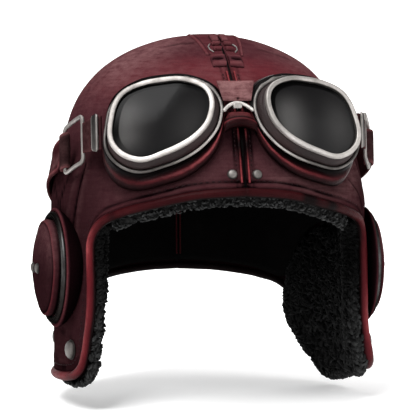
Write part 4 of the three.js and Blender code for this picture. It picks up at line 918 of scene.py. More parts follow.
def lining_welt(side, word):
    """Thin bound seam down the inside of the nape."""
    count = 160
    drop = share(0.3, 1.44, np.linspace(0, 1, count)) * CROWN_HEIGHT
    off = -(LEATHER_WALL + SHELL_PLAY + LINING_WALL + 4 * CLEARANCE + LINING_WELT_RADIUS) + 0.9
    spread = np.degrees(np.arcsin(WELT_SPACING / 1.6 / crown_section(drop)[0]))
    turn = side * (180 - spread)
    path = crown_point(turn, drop, np.full(count, off))
    sections = capped(tube(path, LINING_WELT_RADIUS, leather_normal(turn, drop), 10))
    made(f"nape_seam_{word}", [patch(sections, red=0.1, shade=0.45)], PIPING,
        [f"lining_welt_{word}"])


crown_lining()
for word, side in SIDES.items():
    lining_welt(side, word)


# Fleece

def curls(roots, normals, seed, radius=2.1, thick=0.8):
    """Wool curls: each a short hooked tube of four sides, one arc of a circle set at its own turn on its root."""
    count = len(roots)
    pick = lambda k: chance(np.arange(count), 0 * np.arange(count), 0 * np.arange(count) + k, seed)
    first = unit(np.cross(normals, unit(np.stack([pick(1) - 0.5, pick(2) - 0.5, pick(3) - 0.5], -1))))
    second = np.cross(normals, first)
    t = np.linspace(-0.35, 1.25, 6) * np.pi
    size = radius * (0.6 + 0.8 * pick(4))[:, None]
    ahead = first[:, None] * (size * np.cos(t))[..., None] + normals[:,
        None] * (size * (0.75 * np.sin(t) + 0.1))[..., None]
    path = roots[:, None] + ahead + second[:, None] * (size * 0.35 * (t / np.pi - 0.5))[..., None]
    way = unit(np.gradient(path, axis=1))
    aside = unit(np.cross(way, second[:, None] + 0.01))
    rise = np.cross(aside, way)
    angle = np.linspace(0, 2 * np.pi, 4, endpoint=False)
    ring = aside[:, :, None] * np.cos(angle)[:, None] + rise[:, :, None] * np.sin(angle)[:, None]
    girth = thick * (0.7 + 0.6 * pick(5))[:, None] * np.array([0.5, 1, 1.1, 1.1, 0.9, 0.35])
    sections = path[:, :, None] + ring * girth[:, :, None, None]
    height = np.einsum("nsk,nk->ns", path - roots[:, None], normals) / (radius * 1.2)
    return sections, np.clip(height, 0, 1) * (0.25 + 0.75 * pick(6))[:, None]


def curl_patch(sections, wear_and_highlight, shade):
    """All curls as one list of points and faces: sides between neighbouring rings, and both ends shut."""
    count, rings, sides = sections.shape[:3]
    points = sections.reshape(-1, 3)
    i, j = np.meshgrid(np.arange(rings - 1), np.arange(sides), indexing="ij")
    following = (j + 1) % sides
    quads = np.stack([i * sides + j, i * sides + following, (i + 1) * sides + following,
        (i + 1) * sides + j], -1)
    quads = np.concatenate([quads.reshape(-1, 4), [[3, 2, 1, 0]], [np.arange(4) + (rings - 1) * sides]])
    one = points[: rings * sides]
    a, b, c = (one[quads[:, k]] for k in range(3))
    if np.einsum("ij,ij->", a - one[0], np.cross(b - one[0], c - one[0])) < 0:
        quads = quads[:, ::-1]
    faces = (quads[None] + (np.arange(count) * rings * sides)[:, None, None]).reshape(-1, 4)
    wear_and_highlight = np.repeat(wear_and_highlight.reshape(-1), sides)
    shade = np.repeat(np.broadcast_to(shade, (count,)), rings * sides)
    return points, faces, wear_and_highlight, shade, 0 * wear_and_highlight, points


def edge_distance(turn, drop):
    """Distance from the piping's middle line, on the leather."""
    line_turn, line_drop = run_point(EDGE, np.linspace(0, 1, 121))
    across = (line_turn - turn[..., None]) * np.pi / 180 * HALF_WIDTH
    return np.hypot(across, line_drop - drop[..., None]).min(-1)


def flap_grid(side, u, v):
    """Turn and drop across the pad: from its top line to its lower edge, the left one trimmed under the leather."""
    top_turn, top_drop = run_point(FLEECE_TOP, u)
    low_turn, low_drop = run_point(FLEECE_EDGE, u)
    if side < 0:
        low_drop = low_drop - 8.5 * bump(low_turn, 100, 17)
    else:
        low_turn = low_turn + 2.6 * bump(low_drop, CROWN_HEIGHT + 0.83 * FLAP_FALL, 16) * smooth(110, 119,
            low_turn)
    turn, drop = share(top_turn, low_turn, v), share(top_drop, low_drop, v)
    return turn, drop


def flap_fleece(side, word):
    """Shearling pad: the flap's inside raised into close round lumps, with curls rooted all over it."""
    columns, rows = 210, 110
    u = np.linspace(0, 1, columns + 1)[:, None]
    v = np.linspace(0, 1, rows + 1)[None]
    turn, drop = flap_grid(side, u, v)
    by_piping = LEATHER_WALL / 2 + PIPING_RADIUS + 2 * CLEARANCE
    back = share(by_piping, LEATHER_WALL + SHELL_PLAY,
                 smooth(1.3 * PIPING_RADIUS, 3 * PIPING_RADIUS, edge_distance(turn, drop)))
    way = side * sided_turn(side, turn, drop)
    flat, normal = leather_point(way, drop), leather_normal(way, drop)
    rim = np.minimum(np.minimum(v, 1 - v) * 9, np.minimum(u, 1 - u) * 14)
    round_off = np.sqrt(np.clip(rim, 0.02, 1))
    outer = flat - normal * (back + 0.4)[..., None]
    cell = cells(flat, 5.2, 51)
    lump = 2.3 * (0.62 - cell) + 0.8 * lumps(flat, 10, 52)
    depth = back + 1.2 + (FLEECE_PILE - 2.4) * round_off + lump * round_off
    inner = flat - normal * depth[..., None]
    sections = np.concatenate([outer, inner[:, ::-1]], 1)
    # Lump tops paler; painted shade in the hollows between lumps and over the flap's upper inside, where the fleece
    # fades to black; the pad's back face is darkened too.
    wear_and_highlight = np.clip(0.32 * (0.6 - cell), 0, 1)
    up_in = smooth(0.75, 0.3, (drop - CROWN_HEIGHT) / FLAP_FALL)
    shade = np.clip(1.6 * (cell - 0.5) + 0.7 * up_in, 0, 0.95)
    wear_and_highlight = wear_and_highlight * (1 - up_in)
    lay = lambda value, under: np.concatenate([np.full(value.shape, under), value[:, ::-1]], 1)
    pad = patch(sections, wear_and_highlight=lay(wear_and_highlight, 0.0), shade=lay(shade, 0.9))
    rng = np.random.default_rng(60 + side)
    count = 2500
    a, b = rng.random(count), rng.random(count)
    edge_count = 900
    a = np.concatenate([a, rng.random(edge_count)])
    b = np.concatenate([b, 1 - 0.03 * rng.random(edge_count)])
    ci, ri = np.clip((a * columns).astype(int), 1, columns - 1), np.clip((b * rows).astype(int), 0, rows)
    roots = inner[ci, ri]
    out_way = -normal[ci, ri]
    down = unit(inner[ci, rows] - inner[ci, rows - 12])
    lean = smooth(0.93, 1.0, b)[:, None]
    roots = roots + (out_way * 0.2) * (1 - lean) - lean * out_way * (FLEECE_PILE - 3) * rng.random((len(b),
        1))
    out_way = unit(share(out_way, down, 0.85 * lean))
    tubes, heights = curls(roots, out_way, 70 + side)
    # Painted light on the curls along the front edge, strongest on the left, and on the curls at the lower edge;
    # painted shade on the curls high inside the flap.
    rim_light = np.clip(0.12 + (2.2 if side < 0 else 1.0) * bump(a, 0.0, 0.11) + 0.25 * lean[:, 0], 0, 1.6)
    hair = curl_patch(tubes, np.clip(heights * 1.5, 0, 1) * (rim_light * (1 - 0.9 * up_in[ci, ri]))[:,
        None], np.clip(0.15 + 0.8 * up_in[ci, ri], 0, 1))
    made(f"shearling_flap_{word}", [pad, hair], FLEECE, [f"flap_fleece_{word}"])


def brim_fleece():
    """Narrow shearling roll under the front piping, from temple to temple, with short slanting curls."""
    columns, ring = 300, 20
    turn = np.linspace(-49.5, 49.5, columns + 1)
    brim = CROWN_HEIGHT + FLAP_FALL * along(EDGE[:, 0], EDGE[:, 1], np.abs(turn))
    upper, lower = brim - 2.4 * PIPING_RADIUS, brim + 2.3 * PIPING_RADIUS
    back = -(LEATHER_WALL / 2 + PIPING_RADIUS + CLEARANCE)
    angle = np.linspace(0, 2 * np.pi, ring, endpoint=False)[None]
    drop = share(upper, lower, 0.5)[:, None] + ((lower - upper) / 2)[:, None] * np.cos(angle)
    depth = back - BRIM_PILE / 2 - (BRIM_PILE / 2) * np.sin(angle) + 0 * drop
    flat, normal = leather_point(turn[:, None], drop), leather_normal(turn[:, None], drop)
    cell = cells(flat + normal * depth[..., None], 3.4, 81)
    depth = depth - 0.9 * (0.6 - cell)
    sections = flat + normal * depth[..., None]
    # Lump tops paler; painted shade in the hollows between the lumps.
    roll = patch(sections, wear_and_highlight=np.clip(0.4 * (0.55 - cell), 0, 1),
        shade=np.clip(1.5 * (cell - 0.45), 0, 0.9))
    rng = np.random.default_rng(83)
    ci = rng.integers(1, columns, 1500)
    ai = rng.integers(0, ring, 1500)
    roots = sections[ci, ai]
    out_way = unit(roots - sections[ci].mean(1))
    tubes, heights = curls(roots, out_way, 84, radius=1.1, thick=0.42)
    made("shearling_brim", [roll, curl_patch(tubes, heights * 0.8, 0.2)], FLEECE, ["brim_fleece"])


brim_fleece()
for word, side in SIDES.items():
    flap_fleece(side, word)


# Ear cups, studs and rivets

CUP_RADIUS, CUP_YAW, RING_RADIUS, RING_WIDTH, DOME_RADIUS = 38, 6.5, 35.5, 4, 30.4
CUP_BASE_HEIGHT = {"left": 3.2, "right": 1.9}
CUP_SEAT_GAP = {"left": 0.7, "right": 2.1}
CUP_DOME_HEIGHT = {"left": 11.8, "right": 9.6}
STUD_RADIUS, STUD_HEIGHT = 6.2, 3.4
STUD_DROP = CROWN_HEIGHT + FLAP_FALL - 22
CUP_DROP = STUD_DROP - STUD_RADIUS - 5.8 - CUP_RADIUS
DOMED = [(0, 1), (0.25, 0.985), (0.45, 0.93), (0.62, 0.84), (0.78, 0.69), (0.9, 0.5), (0.97, 0.3),
    (1, 0.12), (0.99, 0.02)]


def domed_head(radius, height, point, direction):
    """Turned rivet head: a dome over a thin flange, closed under it."""
    profile = [(a * 0.93 * radius, height * (0.12 + 0.88 * b)) for a, b in DOMED]
    profile += [(0.96 * radius, 0.16 * height), (radius, 0.1 * height), (radius, 0),
        (0.9 * radius, -0.05 * height)]
    profile += [(0, -0.05 * height)]
    sections = lathe(profile, point, direction, 40)
    level = np.array([b for _, b in profile]) / height
    # Painted shade darkens the head, most towards its foot.
    dark = 0.6 + 0.36 * smooth(0.85, 0.25, level)
    return patch(sections, around=True, loop=False, shade=np.broadcast_to(dark, sections.shape[:2]))


def cup_frame(side):
    """Middle of an ear cup on the leather, with its outward and forward directions from its yaw."""
    point = leather_point(side * 79.5, CUP_DROP) + np.array([side * SEAM_HALF_GAP, 0, 0])
    yaw = math.radians(CUP_YAW)
    outward = np.array([side * math.cos(yaw), -math.sin(yaw), 0])
    return point, outward, np.cross(outward, [0, 0, 1])


def ear_cup(side, word):
    """Padded flange whose back follows the leather, a metal ring, and a crowned leather dome with two rivets."""
    point, outward, forward = cup_frame(side)
    high = CUP_BASE_HEIGHT[word]
    sides = 120
    angle = np.linspace(0, 2 * np.pi, sides, endpoint=False)[:, None, None]
    ring = forward * np.cos(angle) + np.array([0, 0, 1.0]) * np.sin(angle)
    profile = np.array([(0, 0), (0.8, 0), (0.9, 0), (0.935, 0.25), (0.965, 0.35), (0.985, 0.1),
        (0.997, -0.4), (1, -1.1), (0.995, -1.8)])
    front = point + ring * (profile[None, :, :1] * CUP_RADIUS) + outward * (high + profile[None, :, 1:])
    foot = 0.94 - 0.34 * np.maximum(np.cos(angle), 0)
    reach = np.concatenate([foot * 1.02, foot * 0.98, 0.5 + 0 * foot, 0 * foot], 1)
    start = point + ring * (reach * CUP_RADIUS) + outward * (high - 1)
    back = seat(start, outward, CUP_SEAT_GAP[word] + SEAM_HALF_GAP)
    back[:, 1:] -= outward * 0.4
    waist = share(front[:, -1:], back[:, :1], 0.55) - ring * 0.9
    sections = np.concatenate([front, waist, back], 1)
    # Painted highlight, red and pale, along the flange's rolled edge; painted shade round it, and black down the wall
    # to the leather, standing for the shadow beside the cup.
    rim = np.array([0, 0, 0, 0.2, 0.6, 1.0, 0.6, 0.2, 0.0, 0, 0, 0, 0, 0])[None]
    glow = 0.55 + 0.45 * lumps(sections, 20, 91)
    dark = np.array([0, 0, 0.8, 0.5, 0.2, 0.1, 0.35, 0.75, 0.92, 0.97, 0.97, 0.97, 0, 0])[None]
    flange = patch(sections, around=True, loop=False, red=np.clip(rim * glow, 0, 1),
                   wear_and_highlight=np.clip(0.5 * rim * glow, 0, 1), shade=dark + 0 * glow)
    made(f"cup_flange_{word}", [flange], LEATHER, [f"ear_cup_base_{word}"])

    face = point + outward * high
    inside = RING_RADIUS - RING_WIDTH
    metal = rounded([
        (inside, 0.3), (RING_RADIUS, 0.3), (RING_RADIUS, 1.7), (RING_RADIUS - 0.5, 2.2),
            (RING_RADIUS - 1.4, 2.9),
        (RING_RADIUS - 2.2, 2.5), (RING_RADIUS - 3.1, 2.9), (inside, 2.4), (inside, 0.3),
    ], 4, 0.4)
    sections = lathe(metal, face, outward, 120)
    level = sections[..., 2] - face[2]
    # Painted shade darkens the ring except in a broad band a little above its middle, with random darker patches; a
    # painted glint runs along the ring's crest in that band.
    grime_and_shade = np.clip(0.3 * lumps(sections, 12, 92) + 0.97 - 0.5 * bump(level, 6, 15), 0, 0.97)
    glint = np.clip(0.5 * bump(metal[:, 0], RING_RADIUS - 1.3, 0.35)[None] * bump(level, 6, 15), 0, 1)
    made(f"cup_ring_{word}", [patch(sections, around=True, loop=False, shade=grime_and_shade, wear_and_highlight=glint)],
         DARK_STEEL, [f"ear_cup_ring_{word}"])

    tall = CUP_DOME_HEIGHT[word]
    dome = np.array([
        (0, 1), (0.1, 0.997), (0.2, 0.988), (0.3, 0.973), (0.4, 0.95), (0.5, 0.918), (0.6, 0.876),
            (0.68, 0.832),
        (0.76, 0.778), (0.83, 0.716), (0.885, 0.652), (0.915, 0.6), (0.935, 0.585), (0.962, 0.6),
            (0.985, 0.57),
        (1.0, 0.49), (1.008, 0.38), (1.0, 0.26), (0.99, 0.12), (0.97, 0.03), (0, 0.03),
    ])
    sections = lathe(dome * [DOME_RADIUS, tall], face, outward, 140)
    soft = 0.22 * lumps(sections, 16, 94) + 0.1 * lumps(sections, 6, 95)
    shape = np.ones(len(dome))
    shape[[0, -2, -1]] = 0
    sections = sections + outward * (soft * shape[None])[..., None]
    # Painted red highlight on the dome's rim, painted light on its upper part, and painted shade in its crease ring,
    # on its skirt and over its lower part.
    rim = bump(dome[:, 0], 0.975, 0.022) * (dome[:, 1] > 0.3)
    above = smooth(-8, 24, sections[..., 2] - face[2])
    rub_and_highlight = (0.25 * smooth(0, 0.7, lumps(sections, 18, 96)) + 0.3 * bump(dome[:, 0], 0.8,
        0.1)[None] * (0.3 + lumps(sections, 26, 97)))
    rub_and_highlight = rub_and_highlight * (0.4 + 0.8 * above) + 0.2 * above
    wear_and_highlight = np.clip(rub_and_highlight + 0.45 * rim[None] * (0.5 + 0.7 * lumps(sections, 15, 98)) + 0.1, 0, 1)
    dark = 0.85 * bump(dome[:, 0], 0.928, 0.012) + 0.5 * (dome[:, 1] < 0.3) + 0 * dome[:, 0]
    cover = patch(sections, around=True, loop=False, wear_and_highlight=wear_and_highlight,
        red=np.clip(0.95 * rim[None] + 0.08, 0, 1) + 0 * wear_and_highlight,
                  shade=np.clip(0.2 + dark[None] + 0.45 * (1 - above) * (1 - rim[None]), 0, 1))
    made(f"cup_cover_{word}", [cover], LEATHER, [f"ear_cup_dome_{word}"])
    height = tall * along(dome[:12, 0], dome[:12, 1], 6.3 / DOME_RADIUS) + 0.15
    for place, way in (("front", 1), ("rear", -1)):
        spot = face + forward * (way * 6.3) + outward * height
        made(f"cup_rivet_{place}_{word}", [domed_head(3.4, 1.9, spot, outward)], STEEL,
             [f"ear_cup_rivet_{place}_{word}"])


def on_leather(name, node, turn, drop, side, radius, height, gap):
    """A domed head set square on the leather at a turn and a drop."""
    point = crown_point(turn, drop, gap) + np.array([side * SEAM_HALF_GAP, 0, 0])
    made(name, [domed_head(radius, height, point, leather_normal(turn, drop))], STEEL, [node])


for word, side in SIDES.items():
    ear_cup(side, word)
    for place, turn in (("front", 70), ("rear", 110)):
        way = side * float(sided_turn(side, turn, STUD_DROP))
        on_leather(f"flap_stud_{place}_{word}", f"snap_stud_{place}_{word}", way, STUD_DROP, side,
                   STUD_RADIUS, STUD_HEIGHT, 0.25)
    rivet_drop = CROWN_HEIGHT - 10.4
    turn = math.degrees(math.asin((15.2 / 2 - SEAM_HALF_GAP) / float(crown_section(rivet_drop)[0])))
    on_leather(f"brow_rivet_{word}", f"brim_rivet_{word}", side * turn, rivet_drop, side, 3.1, 1.9, 0.15)


# Goggles

def goggles(side, word):
    """Rim, glass, frame, bead and eyecup: rings of the lens outline, each with its own cross profile."""
    angle = np.linspace(0, 360, LENS_STEPS, endpoint=False)[:, None]
    ring = lambda profile: lens_point(side, angle, profile[None, :, 0], profile[None, :, 1])
    rim = rounded_loop([
        (-0.14 * RIM_WIDTH, 0), (0.02, -0.28 * RIM_DEPTH), (0, -RIM_DEPTH), (-RIM_WIDTH, -RIM_DEPTH),
        (-RIM_WIDTH, -0.25 * RIM_DEPTH), (-0.86 * RIM_WIDTH, -0.02),
    ], 4, 0.42)
    sections = ring(rim)
    # Shine and painted highlight: random, and brighter on the rim's lower part. Painted shade on the inner edge and
    # on the upper side to the viewer's left, with random darker patches.
    polish_and_highlight = 0.3 + 0.35 * lumps(sections, 22, 101) + 0.3 * smooth(0.1, -0.8, np.sin(np.radians(angle)))
    grime_and_shade = 0.8 * smooth(-0.9 * RIM_WIDTH, -0.99 * RIM_WIDTH, rim[:, 0])[None] + 0.2 * smooth(0.2, 0.9,
        lumps(sections, 14, 102))
    viewer_x = np.cos(np.radians(angle)) * side
    grime_and_shade = grime_and_shade + 0.3 * smooth(0.2, -0.9, viewer_x) * smooth(-0.4, 0.5, np.sin(np.radians(angle)))
    made(f"lens_rim_{word}", [patch(sections, around=True, wear_and_highlight=np.clip(polish_and_highlight, 0, 1),
        shade=np.clip(grime_and_shade, 0, 1))],
         STEEL, [f"goggle_rim_{word}"])

    steps = 64
    reach = 1 - (1 - np.linspace(0, 1, steps)[None]) ** 1.6
    base = LENS_HALF_WIDTH * along(LENS_ROUND[:, 0], LENS_ROUND[:, 1], angle)
    edge = -(RIM_WIDTH - 0.25)
    low = -0.78 * RIM_DEPTH
    high = low + GLASS_BULGE
    grow = share(-base, edge, reach)
    front = lens_point(side, angle, grow, share(high, low, reach ** 2))
    back = lens_point(side, angle, grow, share(high, low, reach ** 2) - 0.7 * GLASS_WALL)
    radius = base + grow
    x = radius * np.cos(np.radians(angle)) / LENS_HALF_WIDTH * side
    z = radius * np.sin(np.radians(angle)) / LENS_HALF_WIDTH
    # Painted reflection: a soft pale band down the lens's left part and a faint patch on its right.
    left = -0.66 if side < 0 else -0.52
    near = np.exp(-(np.abs((x - left - 0.1 * z) / np.where(x > left, 0.3, 0.26)) ** 2)) * smooth(-0.85,
        -0.35, z) * smooth(0.6, 0.0, z)
    far = (0.14 if side < 0 else 0.24) * bump(x, 0.55 + 0.1 * z, 0.32) * bump(z, -0.2, 0.5)
    painted_reflection = np.clip(0.62 * near + far + 0.015, 0, 1)
    # Painted shade: a dark ring just inside the rim along its upper part, for the rim's inner wall, and the upper
    # part of the glass darker.
    shadowed = smooth(-0.25, 0.35, 0.75 * z - 0.66 * x) if side < 0 else smooth(-0.1, 0.5, 0.9 * z - 0.35 * x)
    dim = np.clip(0.97 * smooth(0.885, 0.91, reach + 0.05 * shadowed - 0.02) * shadowed + 0.3 * smooth(0.1, 0.7,
        z), 0, 1)
    lay = lambda value: np.concatenate([value, value[:, ::-1]], 1)
    made(f"lens_glass_{word}", [patch(np.concatenate([front, back[:, ::-1]], 1), around=True, loop=False,
                                      wear_and_highlight=lay(painted_reflection), shade=lay(dim))], GLASS,
                                          [f"goggle_glass_{word}"])

    over = smooth(0.1, 0.7, np.sin(np.radians(angle)))
    wall = rounded_loop([
        (-0.22 * RIM_WIDTH, FRAME_TOP + 0.25), (0.5 * FRAME_FLARE, share(FRAME_TOP, FRAME_BOTTOM, 0.35)),
        (0.8 * FRAME_FLARE, share(FRAME_TOP, FRAME_BOTTOM, 0.68)), (0.8 * FRAME_FLARE, FRAME_BOTTOM),
        (-1.1 * RIM_WIDTH, FRAME_BOTTOM), (-1.3 * RIM_WIDTH, FRAME_TOP + 0.25),
    ], 4, 0.4)
    sections = lens_point(side, angle, wall[None, :, 0] - 1.9 * over * (wall[None, :, 0] > 0.3),
        wall[None, :, 1])
    facing = np.cos(np.radians(angle)) * side
    # Painted red highlight on the frame's lower left and right sides.
    glow = smooth(0.35, 1.0, np.abs(facing)) * smooth(-0.1, -0.9, np.sin(np.radians(angle)))
    made(f"lens_frame_{word}", [patch(sections, around=True,
        red=np.clip(0.5 * glow + 0.15, 0, 1) + 0 * wall[None, :, 0],
                                      wear_and_highlight=np.clip(0.25 * lumps(sections, 20, 103), 0, 1))],
         FRAME_LEATHER, [f"goggle_frame_{word}"])

    middle = 0.8 * FRAME_FLARE + CLEARANCE + BEAD_RADIUS
    path = lens_point(side, angle[:, 0], middle - 2.3 * over[:, 0], FRAME_BOTTOM + BEAD_RADIUS)
    outward = lens_outward(side)
    inner_top = bump((angle[:, 0] + 30) % 360 - 30, 128, 22)
    thick = BEAD_RADIUS * (0.78 + 0.06 * lumps(path, 6, 104) - 0.22 * over[:,
        0] + inner_top * (0.75 + 0.5 * lumps(path, 2.4, 105)))
    # Painted highlight on the nose side; painted shade elsewhere, heavier along the top and lighter where the bead
    # swells at its inner top.
    nose_side = smooth(-0.1, 0.9, -np.cos(np.radians(angle))) * smooth(0.9, -0.6, np.sin(np.radians(angle)))
    dull_and_shade = np.clip(0.72 - 0.7 * nose_side + 0.2 * over - 0.35 * inner_top[:, None], 0, 0.92)
    made(f"lens_bead_{word}", [patch(tube(path, thick, outward, 14, around=True), around=True,
                                     wear_and_highlight=0.5 * nose_side + np.zeros((1, 14)),
                                         shade=dull_and_shade + np.zeros((1, 14)))],
         STEEL, [f"goggle_bead_{word}"])
    eyecup(side, word, angle, outward)


def eyecup(side, word, angle, outward):
    """Padded cup: a lip under the bead, a full belly and a foot seated on the crown, with small gathers round it."""
    top = FRAME_BOTTOM - CLEARANCE
    skirt = EYECUP_FLARE * along(LENS_ROUND[:, 0], LENS_ROUND[:, 2], angle[:, 0])
    foot = lambda grow: seat(lens_point(side, angle[:, 0], grow, top), outward,
        1.6 * CLEARANCE + SEAM_HALF_GAP)
    lip_outer = lens_point(side, angle[:, 0], FRAME_FLARE + 1.8 * BEAD_RADIUS, top)
    lip_inner = lens_point(side, angle[:, 0], -RIM_WIDTH, top)
    foot_outer, foot_inner = foot(skirt), foot(skirt - EYECUP_WALL)
    t = np.array([0, 0.08, 0.18, 0.3, 0.42, 0.54, 0.66, 0.78, 0.88, 0.95, 1.0])
    lift = np.array([-0.3, -0.25, -0.05, 0.3, 0.75, 1.15, 1.4, 1.38, 1.1, 0.7, 0.2]) * EYECUP_PUFF
    gathers = 1 + 0.1 * lumps(lip_outer, 7, 111) + 0.06 * lumps(lip_outer, 2.6, 112)
    belly = share(lip_outer[:, None], foot_outer[:, None], t[None, :, None])
    belly = belly + outward * (lift[None] * gathers[:, None])[..., None]
    sections = np.concatenate([lip_inner[:, None], belly, foot_inner[:, None]], 1)
    below = smooth(0.5, -0.4, np.sin(np.radians(angle)))
    inner_side = smooth(-0.2, 0.9, -np.cos(np.radians(angle)))
    # Painted highlight, red and pale, along the middle of the roll, stronger below and on the nose side; painted
    # shade next to the bead and at the foot.
    glow = bump(np.concatenate([[0], t, [1.2]]), 0.6, 0.16)[None] * (0.45 + 0.3 * below + 0.6 * inner_side)
    dark = np.concatenate([[0.9], 0.9 * smooth(0.5, 0.05, t) + 0.75 * smooth(0.86, 1, t), [0.95]])[None]
    shape = sections.shape[:2]
    streaky = 0.75 + 0.4 * lumps(sections, 16, 113)
    wear_and_highlight = np.clip(glow ** 3.5 * streaky * 0.55, 0, 1)
    pad = patch(sections, around=True, wear_and_highlight=wear_and_highlight, red=np.clip(glow * 1.1 * streaky + 0.08, 0, 1),
                shade=np.broadcast_to(dark, shape))
    made(f"eyecup_pad_{word}", [pad], PADDING, [f"goggle_eyecup_{word}"])


for word, side in SIDES.items():
    goggles(side, word)


def plate(columns, rows, place):
    """Closed plate: a grid across and up, its front and back joined round the edges by a rounded turn."""
    across = np.linspace(-1, 1, columns + 1)[:, None]
    up = np.linspace(1, -1, rows + 1)[None]
    front, back = place(across, up, 1.0), place(across, up, -1.0)
    return np.concatenate([front, back[:, ::-1]], 1)


def bridge():
    """Leather strip between the frames, dished and narrowing downwards, with a shallow dent near its foot painted
    dark as a hole.
    """
    middle = BRIM_LEVEL + 61
    height, wall = 12.4, 2.2

    def place(across, up, out):
        across, up = np.broadcast_arrays(across, up)
        width = 11.6 * share(1, 0.74, (1 - up) / 2)
        rim = smooth(0.72, 0.98, np.maximum(np.abs(across), np.abs(up)))
        y = -LENS_REACH + 5.4 + math.tan(math.radians(LENS_TILT)) * up * height / 2 + 2.4 * (1 - across ** 2)
        hole = bump(np.hypot((across - 0.12) * 9, (up + 0.78) * 6.2), 0, 0.7)
        y = y - out * wall / 2 * (1 - 0.45 * rim) + (out > 0) * 1.0 * hole
        return settled(np.stack([across * width, y, middle + up * height / 2], -1))

    columns, rows = 60, 40
    sections = plate(columns, rows, place)
    across = np.linspace(-1, 1, columns + 1)[:, None]
    up = np.linspace(1, -1, rows + 1)[None]
    hole = bump(np.hypot((across - 0.12) * 9, (up + 0.78) * 6.2), 0, 0.8)
    rub_and_highlight = 1.0 + 0.6 * bump(across, -0.1, 0.55) * bump(up, -0.1, 0.8)
    # Painted shade: black in the dent that stands for the hole, a little at the sides and at the foot.
    shade = 0.95 * hole + 0.15 * smooth(0.75, 1, np.abs(across)) + 0.05 * smooth(-0.5, -1, up)
    lay = lambda value: np.clip(np.concatenate([value, value[:, ::-1]], 1), 0, 1)
    strip = patch(sections, wear_and_highlight=lay(rub_and_highlight), shade=lay(shade),
        red=lay(0.5 + 0.45 * bump(up, 1, 0.18) + 0 * across))
    made("bridge_strip", [strip], STRAP_LEATHER, ["bridge_leather"])

    level = middle - height / 2 - 1.05 - CLEARANCE
    t = np.linspace(-1.03, 1.03, 61)
    path = settled(np.stack([t * 8.4, -LENS_REACH + 3.9 - 3.2 * t ** 2, level - 4.2 * t ** 2], -1))
    arch = patch(capped(tube(path, 1.15, np.array([0, -1.0, 0]), 16, flat=0.9)), wear_and_highlight=0.35)
    box = rounded_loop([(-2.7, 1.0), (2.7, 1.0), (2.7, -1.9), (-2.7, -1.9)], 4, 0.2)
    depth = np.array([-1.9, -1.75, -1.3, 1.2])[:, None, None]
    shrink = np.array([0.88, 0.97, 1, 1])[:, None, None]
    block = np.concatenate([box[None, :, :1] * shrink, -LENS_REACH + 3.9 + depth + 0 * box[None, :, :1],
                            level - 1.4 + box[None, :, 1:] * shrink], -1)
    block = patch(settled(block), shade=0.15)
    made("bridge_bow", [arch, block], STEEL, ["bridge_arch"], sharp=50)


def nose_pad():
    """Rounded leather pad over the seam, with a roll across it and an arched foot."""
    top = BRIM_LEVEL + 61 - (6.2 + 3.4 + 2.7 * 2.1)
    rows, ring = 44, 40
    down = np.linspace(0, 1, rows + 1)[:, None]
    angle = np.linspace(0, np.pi, ring)[None]
    half = 6.8 + 3.2 * smooth(0.0, 0.6, down)
    x = -np.cos(angle) * half
    arch = 3.2 * down * (1 - (x / half) ** 2)
    z = top - 11.6 * down + arch
    drop = CROWN_TOP - z
    turn = np.degrees(np.arcsin(x / crown_section(drop)[0]))
    roll = 1.3 * bump(down, 0.7, 0.16)
    full = np.clip(np.sin(angle), 0, 1) ** 0.6
    split = 0.3 * bump(x, 0, 0.4) * bump(down, 0.7, 0.2)
    ends = np.sqrt(np.clip(np.minimum(down, 1 - down) * 9, 0.03, 1))
    off = 2 + 0.9 + full * (4.6 * (0.62 + 0.38 * down) + roll) * (0.35 + 0.65 * ends) - split
    front = crown_point(turn, drop, off)
    back = crown_point(turn, drop, 2.6 + 0 * off)
    sections = np.concatenate([front, back[:, ::-1]], 1)
    sections[..., 0] += GOGGLES_ASIDE / 2
    # Painted red highlight along the roll; painted shade below it, in the split at its middle and on the back face.
    glow = 0.95 * bump(down, 0.62, 0.065) + 0.2 * smooth(0.62, 0.75, down) + 0 * x
    shade = 0.35 * smooth(0.35, 0.55, down) * (1 - bump(down, 0.66, 0.12)) + 0.6 * bump(x, 0,
        0.3) * bump(down, 0.66, 0.12) + 0 * x
    lay = lambda value, under: np.clip(np.concatenate([value, np.full(value.shape, under)], 1), 0, 1)
    grey = 0.5 * smooth(0.55, 0.15, down) + 0 * x
    pad = patch(sections, wear_and_highlight=lay(0.5 * glow ** 2 + grey, 0), red=lay(glow, 0), shade=lay(shade, 0.9))
    made("nose_cushion", [pad], PADDING, ["nose_pad"])


bridge()
nose_pad()


# Strap and its metalwork

STRAP_WIDTH, STRAP_WALL, STRAP_STAND, STRAP_RISE, STRAP_SAG = 23, 2.4, 5, 37.4, 0.0052
LOOP_START, LOOP_LENGTH, LOOP_HEIGHT, LOOP_WIRE = 24, 21, 28, 1.3
STRAP = np.array([
    (74, 1.3, 0.232), (82, 1.2, 0.2), (92, 0.86, 0.155), (104, 0.56, 0.09), (120, 0.5, 0), (140, 0.51, -0.08),
    (162, 0.72, -0.13), (180, 1.12, -0.145),
])


def strap_line():
    """Start beside the frame and the direction towards a point beside the crown."""
    yaw = math.radians(LENS_YAW)
    reach = LENS_HALF_WIDTH + FRAME_FLARE - 5 * CLEARANCE
    start = np.array([
        LENS_SPACING / 2 + reach * math.cos(yaw),
        -LENS_REACH + reach * math.sin(yaw) - FRAME_BOTTOM * math.cos(yaw) - 5 * CLEARANCE,
    ])
    aim = leather_point(-66, CROWN_HEIGHT - STRAP_RISE)[:2] * [-1, 1] + [13.9, 0]
    return start, unit(aim - start)


